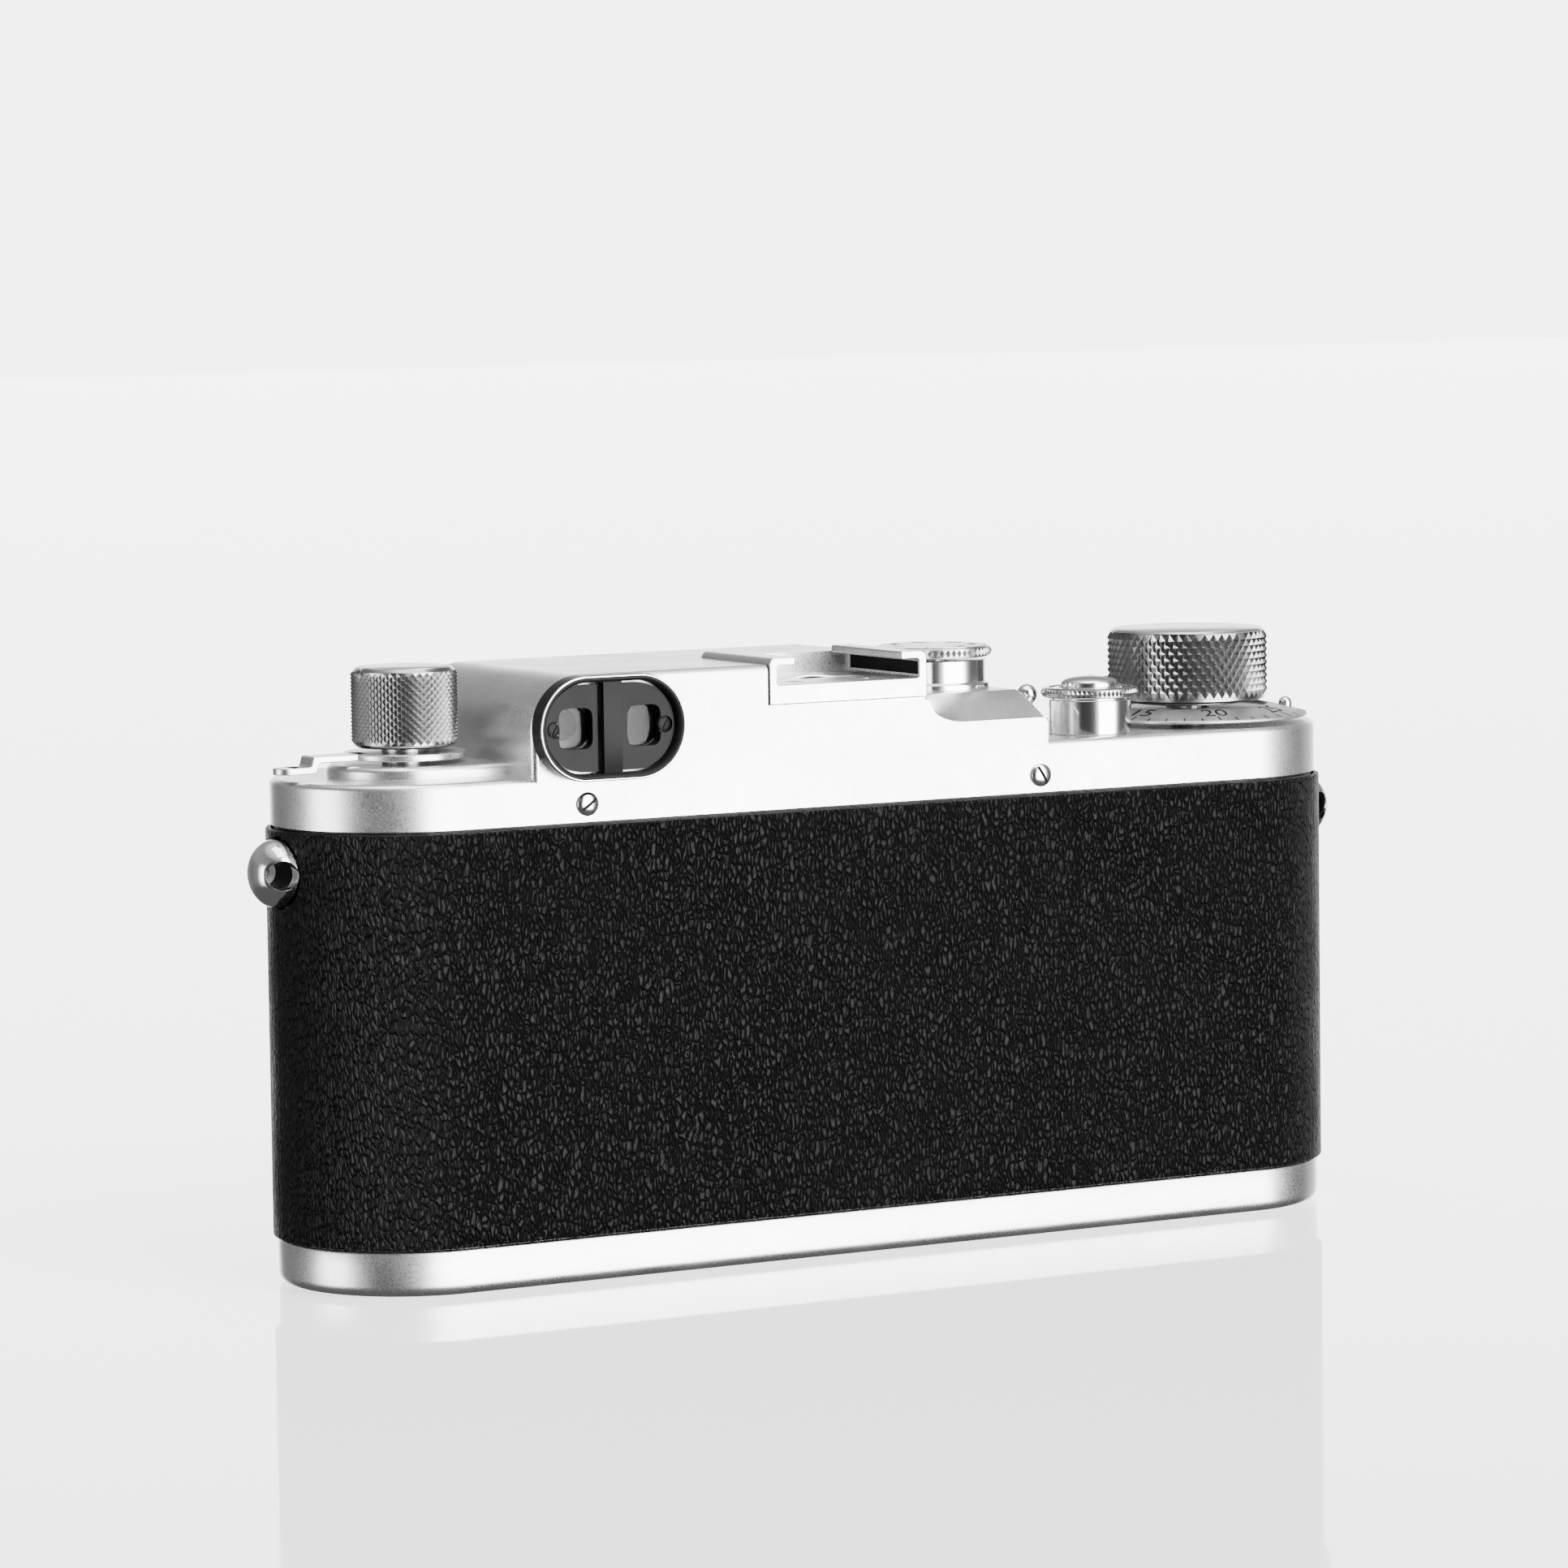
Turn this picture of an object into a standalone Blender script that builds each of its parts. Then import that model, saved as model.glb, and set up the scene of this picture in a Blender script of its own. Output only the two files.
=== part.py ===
"""A 35 mm rangefinder camera with a collapsible screw-mount lens, as separate parts.

Sizes are in millimetres; to_object() makes each part in metres.
+X is the rewind end, -X the wind end, +Y the back, -Y the lens side and +Z is up.
The origin is the middle of the base plate's underside.
"""

import math

import bmesh
import bpy
from mathutils import Matrix, Vector

MM = 0.001
GAP = 0.3  # between pieces that touch or pass each other

# Body: a slot-shaped tube in its covering, over a shallow base plate
BODY_LENGTH = 136.0
BODY_DEPTH = 30.8
BASE_HEIGHT = 5.0
SKIN_HEIGHT = 45.9
SKIN_THICKNESS = 0.6
SHELL_WALL = 1.8
NECK_HEIGHT = 2.3
CHROME_INSET = 0.55  # the chrome covers stand this far inside the covering
BASE_WALL = 1.2
BASE_ROUNDING = 1.3
END_STEPS = 12

# Top cover: decks at each end, and a housing, a shoe seat and a plateau between them
COVER_WALL = 1.0
FLUSH_STEP = 0.03  # each block of the cover stands this much inside the one before
REWIND_DECK_RISE = 5.25
WIND_DECK_RISE = 6.05
LIP_ROUNDING = 0.75
PLATFORM_RISE = 1.4
PLATFORM_RADIUS = 8.5
HOUSING_RISE = 16.5
HOUSING_END_GAP = 8.3  # rewind axis to the housing's end
HOUSING_CORNER = 6.3
HOUSING_EDGE = 0.7
SHOE_SEAT_RISE = 11.9
PLATEAU_RISE = 11.65
PLATEAU_LENGTH = 16.3
SCOOP_TOP_INSET = 4.6  # from the back face to the scoop's upper edge
SCOOP_DROP = 2.8
SCOOP_CURVE = 4.8

# Axes of the controls
WIND_END_OFFSET = 15.6
REWIND_END_OFFSET = 15.8
SPROCKET_FROM_WIND = 14.4
SPROCKET_Y = 3.5
RELEASE_FROM_WIND = 19.3
RELEASE_BACK_INSET = 6.35  # from the cover's back face
SPEED_FROM_SHOE = 9.8
LEVER_FROM_WIND = 22.9
LEVER_FRONT_INSET = 5.85

# Wind side
WIND_KNOB_RADIUS = 9.55
WIND_KNOB_HEIGHT = 8.6
WIND_KNOB_LIFT = 2.55  # its underside above the deck
SHAFT_RADIUS = 2.0
DIAL_RADIUS = 14.2
DIAL_EDGE = 0.35
DIAL_CONE = 1.1
DIAL_PIN_RADIUS = 0.8
DIAL_PIN_CIRCLE = 12.3
GEAR_TEETH = 18
GEAR_THICKNESS = 1.3
SPROCKET_RADIUS = 6.05
SPROCKET_TEETH = 8
SPOOL_RADIUS = 5.2
SPOOL_FLANGE = 7.4

# Rewind side
REWIND_KNOB_RADIUS = 6.0
REWIND_KNOB_HEIGHT = 9.0
REWIND_KNOB_LIFT = 3.15
LEVER_DISC_RADIUS = 6.85
LEVER_THICKNESS = 0.75
LEVER_REACH = 16.2
LEVER_ELBOW = 11.9
LEVER_DROP = 1.15
LEVER_WIDTH = 3.2

# Release
COLLAR_RADIUS = 4.85
COLLAR_HEIGHT = 4.05
RING_RADIUS = 5.75
RING_HEIGHT = 1.1
BUTTON_RADIUS = 3.4
BUTTON_DOME = 0.9
RELEASE_TRAVEL = 1.8

# Speed dials
SPEED_DIAL_RADIUS = 7.0
SPEED_DIAL_HEIGHT = 1.3
COLUMN_RADIUS = 6.2
COLUMN_HEIGHT = 3.1
SPINDLE_RADIUS = 3.0
SLOW_DIAL_RADIUS = 5.4
SLOW_DIAL_X = -27.3
SLOW_DIAL_BELOW_TOP = 11.0

# Eyepieces on the back of the housing
EYE_WIDTH = 18.4
EYE_HEIGHT = 11.8
EYE_FROM_END = 9.1
EYE_STAND = 1.9
EYE_RIM = 0.8
EYE_BAR = 2.6
EYE_SPACING = 8.6
EYE_HOLE = 2.1

# Windows on the front of the housing
RANGE_BASE = 38.0
RANGE_RING_RADIUS = 4.4
RANGE_GLASS_RADIUS = 3.0
FINDER_WIDTH = 9.4
FINDER_HEIGHT = 7.4
FINDER_RIM = 0.9

# Accessory shoe
SHOE_WIDTH = 20.6
SHOE_INNER = 18.7
SHOE_SLOT = 14.0
SHOE_LENGTH = 15.8
SHOE_FLOOR = 1.9
SHOE_RISE = 5.0
SHOE_LIP = 0.9
SHOE_X = 3.3
SHOE_GROOVE = 0.12

# Strap lugs
LUG_RADIUS = 3.8
LUG_PROUD = 3.5
LUG_WEB = 2.6
LUG_HOLE = 1.65
LUG_BELOW_TOP = 4.6

# Screws
SCREW_HEAD = 1.35
SCREW_DOME = 0.55
SCREW_SHANK = 0.6
BACK_SCREW_RISE = 2.1
FRONT_SCREW_X = 30.0

# Lens, measured forward from the body's middle plane
THREAD_RADIUS = 19.5
FLANGE_RADIUS = 22.0
FLANGE_STAND = 2.0
MOUNT_RING_RADIUS = 21.4
FOCUS_RING_RADIUS = 22.4
FOCUS_RING_WIDTH = 2.6
FOCUS_TAB_REACH = 26.5
CARRIER_RADIUS = 15.6
TUBE_RADIUS = 13.3
TUBE_WALL = 1.0
TUBE_TRAVEL = 15.0
HEAD_RADIUS = 18.0
HEAD_LENGTH = 4.5
GLASS_RADIUS = 6.0
FOCUS_TRAVEL = 2.8

# Shutter and film path
CRATE_FRONT = 11.9
CRATE_BACK = 10.3
CRATE_WALL = 1.2
CRATE_FOOT_RISE = 3.0
CRATE_TOP_INSET = 2.2  # below the top of the covering
SPROCKET_INSET = 4.8  # from the spool's ends to the middle of each ring of teeth
CRATE_HALF = 27.0
FRAME_WIDTH = 36.0
FRAME_HEIGHT = 24.0
DRUM_X = 21.5
DRUM_RADIUS = 3.5
ROLLER_RADIUS = 2.5
CURTAIN_Y = 8.3
ARM_PIVOT_X = 20.0
ARM_Y = 8.0
ARM_ROLLER_RADIUS = 1.6

# Base plate fittings
LOCK_RADIUS = 9.5
LOCK_END_OFFSET = 18.0
LOCK_RECESS = 1.2
KEY_THICKNESS = 0.7
TRIPOD_RADIUS = 4.76
BUSH_RADIUS = 7.0
BUSH_END_OFFSET = 22.0

# Heights and places that follow from the sizes above
SKIN_FOOT = BASE_HEIGHT + GAP
SKIN_TOP = SKIN_FOOT + SKIN_HEIGHT
COVER_FOOT = SKIN_TOP + GAP
REWIND_DECK = COVER_FOOT + REWIND_DECK_RISE
WIND_DECK = COVER_FOOT + WIND_DECK_RISE
PLATFORM = REWIND_DECK + PLATFORM_RISE
PLATEAU = COVER_FOOT + PLATEAU_RISE
SHOE_SEAT = COVER_FOOT + SHOE_SEAT_RISE
HOUSING_TOP = COVER_FOOT + HOUSING_RISE
SHELL_INSET = SKIN_THICKNESS + GAP
ROOM_INSET = SHELL_INSET + SHELL_WALL
NECK_INSET = CHROME_INSET + COVER_WALL + GAP
COVER_BACK = BODY_DEPTH / 2 - CHROME_INSET
ROOM_BACK = BODY_DEPTH / 2 - ROOM_INSET
SHELL_BACK = BODY_DEPTH / 2 - SHELL_INSET
WIND_X = WIND_END_OFFSET - BODY_LENGTH / 2
REWIND_X = BODY_LENGTH / 2 - REWIND_END_OFFSET
SPROCKET_X = WIND_X + SPROCKET_FROM_WIND
HOUSING_END = REWIND_X - HOUSING_END_GAP
SHOE_LEFT = SHOE_X + SHOE_WIDTH / 2
SHOE_RIGHT = SHOE_X - SHOE_WIDTH / 2
PLATEAU_END = SHOE_RIGHT - PLATEAU_LENGTH
RELEASE_X = WIND_X + RELEASE_FROM_WIND
RELEASE_Y = COVER_BACK - RELEASE_BACK_INSET
SPEED_X = SHOE_RIGHT - SPEED_FROM_SHOE
LEVER_X = WIND_X + LEVER_FROM_WIND
LEVER_Y = LEVER_FRONT_INSET - COVER_BACK
EYE_X = HOUSING_END - EYE_FROM_END
EYE_Z = HOUSING_TOP - EYE_HEIGHT / 2
WINDOW_Z = HOUSING_TOP - 5.6
RANGE_X = EYE_X + EYE_SPACING / 2
FINDER_X = EYE_X - EYE_SPACING / 2
FINDER_WINDOW_X = RANGE_X - RANGE_RING_RADIUS - 0.4 - FINDER_WIDTH / 2
LENS_Z = SKIN_FOOT + SKIN_HEIGHT / 2
FLANGE_FACE = SHELL_BACK + GAP + FLANGE_STAND + SKIN_THICKNESS
CRATE_FOOT = BASE_HEIGHT + CRATE_FOOT_RISE
CRATE_TOP = SKIN_TOP - CRATE_TOP_INSET
LUG_Z = SKIN_TOP - LUG_BELOW_TOP
LOCK_X = BODY_LENGTH / 2 - LOCK_END_OFFSET
BUSH_X = BUSH_END_OFFSET - BODY_LENGTH / 2

FORWARD = (math.radians(90), 0, 0)  # local Z to -Y
BACKWARD = (math.radians(-90), 0, 0)  # local Z to +Y
TO_LEFT = (0, math.radians(90), 0)  # local Z to +X
TO_RIGHT = (0, math.radians(-90), 0)  # local Z to -X

FINISHES = {  # base colour, roughness, metallic
    "satin_chrome": ((0.75, 0.75, 0.76), 0.34, 1.0),
    "bright_chrome": ((0.86, 0.86, 0.87), 0.14, 1.0),
    "black_enamel": ((0.015, 0.015, 0.016), 0.3, 0.0),
    "black_covering": ((0.012, 0.012, 0.012), 0.6, 0.0),
    "black_alloy": ((0.03, 0.03, 0.032), 0.55, 0.6),
    "steel": ((0.5, 0.5, 0.52), 0.35, 1.0),
    "brass": ((0.72, 0.52, 0.22), 0.35, 1.0),
    "curtain_cloth": ((0.01, 0.01, 0.01), 0.9, 0.0),
    "glass": ((0.75, 0.8, 0.82), 0.03, 0.0),
}


# ---- shapes -------------------------------------------------------------------


def circle(radius, z, steps):
    """A ring of points about Z, or the one point on the axis."""
    if radius <= 0:
        return [Vector((0, 0, z))]
    turns = [2 * math.pi * i / steps for i in range(steps)]
    return [Vector((radius * math.cos(t), radius * math.sin(t), z)) for t in turns]


def slot(length, depth, z, centre=(0, 0), steps=END_STEPS):
    """A slot outline: two half circles joined by straight sides."""
    radius = depth / 2
    reach = length / 2 - radius
    points = []
    for side in (1, -1):
        for i in range(steps + 1):
            turn = math.pi * (i / steps - 0.5)
            x = side * (reach + radius * math.cos(turn))
            points.append(Vector((centre[0] + x, centre[1] + side * radius * math.sin(turn), z)))
    return points


def body_outline(inset, z):
    return slot(BODY_LENGTH - 2 * inset, BODY_DEPTH - 2 * inset, z)


def square_ended(inset, z, square_x, steps=END_STEPS):
    """The body's wind end, cut off square at square_x."""
    radius = BODY_DEPTH / 2 - inset
    centre = BODY_DEPTH / 2 - BODY_LENGTH / 2
    turns = [math.pi * (0.5 + i / steps) for i in range(steps + 1)]
    end = [Vector((centre + radius * math.cos(t), radius * math.sin(t), z)) for t in turns]
    return [Vector((square_x, radius, z)), *end, Vector((square_x, -radius, z))]


def rings(loops, closed=False):
    """A solid through loops of points: capped at both ends, or closed back to the first."""
    bm = bmesh.new()
    rows = [[bm.verts.new(point) for point in loop] for loop in loops]
    pairs = list(zip(rows, rows[1:]))
    if closed:
        pairs.append((rows[-1], rows[0]))
    for low, high in pairs:
        count = max(len(low), len(high))
        for i in range(count):
            j = (i + 1) % count
            corners = [low[i % len(low)], low[j % len(low)], high[j % len(high)], high[i % len(high)]]
            bm.faces.new(list(dict.fromkeys(corners)))
    if not closed:
        for row in (rows[0], rows[-1]):
            if len(row) > 2:
                bm.faces.new(row)
    bmesh.ops.recalc_face_normals(bm, faces=bm.faces)
    return bm


def turned(profile, steps=32):
    """A profile of (radius, height) points turned about Z."""
    on_axis = profile[0][0] <= 0
    return rings([circle(r, z, steps) for r, z in profile], closed=not on_axis)


def box(low, high):
    (x0, y0, z0), (x1, y1, z1) = low, high
    corners = [(x0, y0), (x1, y0), (x1, y1), (x0, y1)]
    return rings([[Vector((x, y, z)) for x, y in corners] for z in (z0, z1)])


def prism(outline, low, high, axis="Z"):
    """An outline extruded along an axis; it is (x, y), or (x, z) along Y."""
    if axis == "Z":
        return rings([[Vector((a, b, h)) for a, b in outline] for h in (low, high)])
    return rings([[Vector((a, h, b)) for a, b in outline] for h in (low, high)])


def rod(radius, start, end, steps=16):
    """A round bar from start to end."""
    start, end = Vector(start), Vector(end)
    bm = turned([(0, 0), (radius, 0), (radius, (end - start).length), (0, (end - start).length)], steps)
    aim = (end - start).to_track_quat("Z", "Y").to_matrix().to_4x4()
    bm.transform(Matrix.Translation(start) @ aim)
    return bm


def arc(centre, radius, start, end, steps):
    """Points on an arc in a plane, by angle in degrees."""
    turns = [math.radians(start + (end - start) * i / steps) for i in range(steps + 1)]
    return [(centre[0] + radius * math.cos(t), centre[1] + radius * math.sin(t)) for t in turns]


def gear(teeth, pitch_radius, low, high, turn=0.0):
    """A spur gear with plain tapered teeth; turn puts a tooth at that angle."""
    module = 2 * pitch_radius / teeth
    root, tip = pitch_radius - 1.15 * module, pitch_radius + 0.8 * module
    pitch = 2 * math.pi / teeth
    shape = [(-0.31, root), (-0.13, tip), (0.13, tip), (0.31, root)]
    outline = []
    for tooth in range(teeth):
        for share, radius in shape:
            angle = turn + (tooth + share) * pitch
            outline.append((radius * math.cos(angle), radius * math.sin(angle)))
    return prism(outline, low, high)


# ---- objects ------------------------------------------------------------------


def clear_scene():
    for thing in list(bpy.data.objects):
        bpy.data.objects.remove(thing, do_unlink=True)


def add_finish(thing, finish):
    colour, roughness, metallic = FINISHES[finish]
    material = bpy.data.materials.new(f"{thing.name}_{finish}")
    material.use_nodes = True
    shader = material.node_tree.nodes["Principled BSDF"]
    shader.inputs["Base Color"].default_value = (*colour, 1)
    shader.inputs["Roughness"].default_value = roughness
    shader.inputs["Metallic"].default_value = metallic
    thing.data.materials.append(material)


def to_object(name, bm, finish=None, at=(0, 0, 0), turn=(0, 0, 0)):
    """An object in metres, its origin at the given place."""
    mesh = bpy.data.meshes.new(name)
    bm.transform(Matrix.Scale(MM, 4))
    bm.to_mesh(mesh)
    bm.free()
    mesh.shade_smooth()
    mesh.set_sharp_from_angle(angle=math.radians(32))
    thing = bpy.data.objects.new(name, mesh)
    bpy.context.scene.collection.objects.link(thing)
    thing.location = Vector(at) * MM
    thing.rotation_euler = turn
    if finish:
        add_finish(thing, finish)
    return thing


def tool(name, bm, at=(0, 0, 0), turn=(0, 0, 0)):
    """A hidden shape that cuts or joins others."""
    thing = to_object(name, bm, None, at, turn)
    thing.hide_render = True
    thing.display_type = "WIRE"
    return thing


def use(thing, operation, *tools):
    for other in tools:
        step = thing.modifiers.new(f"{operation}_{other.name}", "BOOLEAN")
        step.operation = operation
        step.object = other
        step.solver = "EXACT"


def cut(thing, *tools):
    use(thing, "DIFFERENCE", *tools)


def join(thing, *tools):
    use(thing, "UNION", *tools)


# ---- body ---------------------------------------------------------------------


def base_plate():
    outer = CHROME_INSET
    loops = []
    for i in range(4):
        turn = math.radians(30 * i)
        inset = outer + BASE_ROUNDING * (1 - math.sin(turn))
        loops.append(body_outline(inset, BASE_ROUNDING * (1 - math.cos(turn))))
    loops.append(body_outline(outer, BASE_HEIGHT))
    loops.append(body_outline(outer + BASE_WALL, BASE_HEIGHT))
    loops.append(body_outline(outer + BASE_WALL, BASE_WALL))
    plate = to_object("base_plate", rings(loops), "satin_chrome")
    below, above = (0, 0, -1), (0, 0, BASE_HEIGHT + 1)
    lock_hole = tool("cut_lock_hole", rod(LOCK_RADIUS + GAP, below, above, 32), at=(LOCK_X, 0, 0))
    bush_hole = tool("cut_bush_hole", rod(BUSH_RADIUS + GAP, below, above, 28), at=(BUSH_X, 0, 0))
    cut(plate, lock_hole, bush_hole)
    return plate


def base_fittings():
    floor, rim = BASE_WALL + GAP, LOCK_RADIUS + 1.5
    hub_top = BASE_HEIGHT + 1.4
    disc = [(0, LOCK_RECESS), (LOCK_RADIUS, LOCK_RECESS), (LOCK_RADIUS, floor), (rim, floor)]
    disc += [(rim, floor + 1.0), (3.0, floor + 1.0), (3.0, hub_top), (0, hub_top)]
    lock = to_object("base_lock_disc", turned(disc), "bright_chrome", at=(LOCK_X, 0, 0))
    tongue = box((-2.5, -2.5, hub_top - 1.2), (ROOM_BACK - 0.8, 2.5, hub_top + 0.6))
    join(lock, tool("add_lock_tongue", tongue, at=(LOCK_X, 0, 0)))

    outer, inner = LOCK_RADIUS - 0.9, LOCK_RADIUS - 3.1
    half = KEY_THICKNESS / 2
    bail = arc((0, 0), outer, -90, 90, 12) + [(-0.3, outer), (-0.3, -outer)]
    key = to_object("base_lock_key", prism(bail, -half, half), "bright_chrome", at=(LOCK_X, 0, 0.5))
    window = arc((0.9, 0), inner, -80, 80, 10)
    cut(key, tool("cut_key_window", prism(window, -1, 1), at=(LOCK_X, 0, 0.5)))

    socket, top = BASE_HEIGHT - 0.2, BASE_HEIGHT + 0.8
    bush = [(0, socket), (TRIPOD_RADIUS, socket), (TRIPOD_RADIUS, 0.1), (BUSH_RADIUS, 0.1)]
    bush += [(BUSH_RADIUS, floor), (BUSH_RADIUS + 1.4, floor), (BUSH_RADIUS + 1.4, top), (0, top)]
    to_object("tripod_bush", turned(bush, 28), "steel", at=(BUSH_X, 0, 0))

    end = 2 * GAP + ROOM_INSET + 0.2 - BODY_LENGTH / 2
    foot = BASE_HEIGHT + GAP
    hook = [(end, foot + 1.6), (end + 4.4, foot + 1.6), (end + 4.4, foot), (end + 2.6, foot)]
    hook += [(end + 2.6, foot + 0.9), (end, foot + 0.9)]
    hook = [(x, z + 0.9) for x, z in hook]
    to_object("base_catch_stud", prism(hook, -2.8, 2.8, "Y"), "steel")


def body_shell():
    neck = SKIN_TOP + NECK_HEIGHT
    steps = [(SHELL_INSET, SKIN_FOOT), (SHELL_INSET, SKIN_TOP), (NECK_INSET, SKIN_TOP)]
    steps += [(NECK_INSET, neck), (ROOM_INSET, neck), (ROOM_INSET, SKIN_FOOT)]
    shell = to_object("body_shell", rings([body_outline(*s) for s in steps], True), "black_alloy")
    return shell


def body_covering():
    steps = [(0, SKIN_FOOT), (0, SKIN_TOP), (SKIN_THICKNESS, SKIN_TOP), (SKIN_THICKNESS, SKIN_FOOT)]
    loops = [body_outline(*s) for s in steps]
    skin = to_object("body_covering", rings(loops, True), "black_covering")
    reach = BODY_LENGTH / 2 + 2
    for name, side in (("left", 1), ("right", -1)):
        hole = rod(LUG_RADIUS + GAP, (side * (reach - 12), 0, LUG_Z), (side * reach, 0, LUG_Z), 24)
        cut(skin, tool(f"cut_covering_{name}_lug", hole))
    flange = rod(FLANGE_RADIUS + GAP, (0, 0, LENS_Z), (0, -BODY_DEPTH, LENS_Z), 32)
    cut(skin, tool("cut_covering_flange", flange))
    return skin


def strap_lugs():
    base, tip = -GAP, LUG_PROUD
    dome = arc((0, 0), 1.0, 0, 90, 5)
    profile = [(0, base - 0.3), (LUG_RADIUS, base - 0.3)]
    profile += [(LUG_RADIUS * a, 0.6 + (tip - 0.6) * b) for a, b in dome[:-1]] + [(0, tip)]
    eye_height = tip - LUG_HOLE - 0.75
    for name, side, turn in (("left", 1, TO_LEFT), ("right", -1, TO_RIGHT)):
        at = (side * BODY_LENGTH / 2, 0, LUG_Z)
        lug = to_object(f"strap_lug_{name}", turned(profile, 20), "bright_chrome", at, turn)
        for edge in (1, -1):
            scoop = rod(6.0, (-9, edge * (LUG_WEB / 2 + 6.0), tip + 2.6), (9, edge * (LUG_WEB / 2 + 6.0), tip + 2.6), 28)
            cut(lug, tool(f"cut_{name}_lug_side_{edge + 1}", scoop, at, turn))
        hole = rod(LUG_HOLE, (0, -6, eye_height), (0, 6, eye_height), 16)
        cut(lug, tool(f"cut_{name}_lug_eye", hole, at, turn))


# ---- top cover ----------------------------------------------------------------


def rounded_stack(outline, foot, top, inset=CHROME_INSET, rounding=LIP_ROUNDING):
    """A block whose upper edge is rounded."""
    loops = [outline(inset, foot)]
    for i in range(4):
        turn = math.radians(30 * i)
        z = top - rounding * (1 - math.sin(turn))
        loops.append(outline(inset + rounding * (1 - math.cos(turn)), z))
    return rings(loops)


def housing_profile(inset, right, foot):
    """The housing seen from behind: its rewind end has a round upper corner."""
    left, top = HOUSING_END - inset, HOUSING_TOP - inset
    radius = HOUSING_CORNER - inset
    corner = arc((left - radius, top - radius), radius, 0, 90, 6)
    return [(right, foot), (left, foot), *corner, (right, top)]


def housing_block(right):
    loops = []
    back = COVER_BACK - 2 * FLUSH_STEP
    for share, inset in ((1.0, 0.0), (0.55, 0.13), (0.2, 0.45), (0.0, 1.0)):
        y = back - HOUSING_EDGE * (1 - share)
        profile = housing_profile(HOUSING_EDGE * (1 - inset), right, COVER_FOOT + 1)
        loops.append((y, profile))
    rows = [[Vector((x, y, z)) for x, z in profile] for y, profile in loops]
    front = [[Vector((p.x, -p.y, p.z)) for p in row] for row in reversed(rows)]
    return rings(rows + front)


def scoop_cutter():
    """The hollow that slopes from the plateau down to the back face."""
    low_z = PLATEAU - SCOOP_DROP
    start = SHOE_RIGHT - 0.4
    curve = arc((start - SCOOP_CURVE, PLATEAU + 0.4), 1.0, -20, -90, 5)
    centre_x, centre_z = start - SCOOP_CURVE, PLATEAU + 0.4
    depth = centre_z - low_z
    side = [(centre_x + SCOOP_CURVE * (x - centre_x), centre_z + depth * (z - centre_z)) for x, z in curve]
    outline = [(start, HOUSING_TOP), *side, (PLATEAU_END - 3, low_z), (PLATEAU_END - 3, HOUSING_TOP)]
    inner = COVER_BACK - SCOOP_TOP_INSET
    run = SCOOP_TOP_INSET
    near = [Vector((x, inner + 2 * run, z - (PLATEAU - low_z))) for x, z in outline]
    far = [Vector((x, inner, z + (PLATEAU - low_z))) for x, z in outline]
    return rings([near, far])


def top_cover():
    deck = rounded_stack(body_outline, COVER_FOOT, REWIND_DECK)
    cover = to_object("top_cover", deck, "satin_chrome")
    join_x = SHOE_LEFT + 2.0
    wind_inset = CHROME_INSET + FLUSH_STEP
    wind = rounded_stack(lambda i, z: square_ended(i, z, join_x), COVER_FOOT + 0.5, WIND_DECK, wind_inset)
    stand = rounded_stack(
        lambda i, z: slot(2 * (PLATFORM_RADIUS + 6 - i), 2 * (PLATFORM_RADIUS - i), z, (REWIND_X - 6, 0)),
        COVER_FOOT + 2,
        PLATFORM,
        0,
        0.6,
    )
    plateau_back = COVER_BACK - 3 * FLUSH_STEP
    plateau = box((PLATEAU_END, -plateau_back, COVER_FOOT + 1.3), (SHOE_LEFT + 1, plateau_back, PLATEAU))
    join(cover, tool("add_wind_deck", wind), tool("add_rewind_platform", stand))
    join(cover, tool("add_plateau", plateau))
    cut(cover, tool("cut_scoop", scoop_cutter()))
    join(cover, tool("add_housing", housing_block(SHOE_RIGHT)))
    shoe_front = COVER_BACK - SHOE_LENGTH
    low = (SHOE_RIGHT - GAP - 2, shoe_front - GAP, SHOE_SEAT)
    high = (SHOE_LEFT + GAP, COVER_BACK + 2, HOUSING_TOP + 2)
    cut(cover, tool("cut_shoe_notch", box(low, high)))
    hollow_cover(cover, shoe_front)
    bore_cover(cover)
    return cover


def hollow_cover(cover, shoe_front):
    """The rooms under the decks, the plateau, the shoe and the housing."""
    foot = COVER_FOOT - 1
    inset = CHROME_INSET + COVER_WALL
    under = rings([body_outline(inset, foot), body_outline(inset, REWIND_DECK - COVER_WALL)])
    side = COVER_BACK - COVER_WALL - 3 * FLUSH_STEP
    profile = housing_profile(COVER_WALL + 0.4, SHOE_LEFT + COVER_WALL + 0.4, foot)
    tall = prism(profile, -side, side, "Y")
    ahead_side = side - FLUSH_STEP
    ahead_low = (SHOE_RIGHT + COVER_WALL, -ahead_side, foot + 0.1)
    ahead_high = (SHOE_LEFT + 3, shoe_front - GAP - COVER_WALL, HOUSING_TOP - COVER_WALL)
    middle_side = side - 2 * FLUSH_STEP
    middle_low = (PLATEAU_END + COVER_WALL, -middle_side, foot + 0.2)
    middle_high = (SHOE_LEFT + 2.6, middle_side - SCOOP_TOP_INSET, PLATEAU - COVER_WALL)
    cut(cover, tool("cut_under_decks", under), tool("cut_housing_room", tall))
    cut(cover, tool("cut_front_room", box(ahead_low, ahead_high)))
    cut(cover, tool("cut_plateau_room", box(middle_low, middle_high)))


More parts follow.
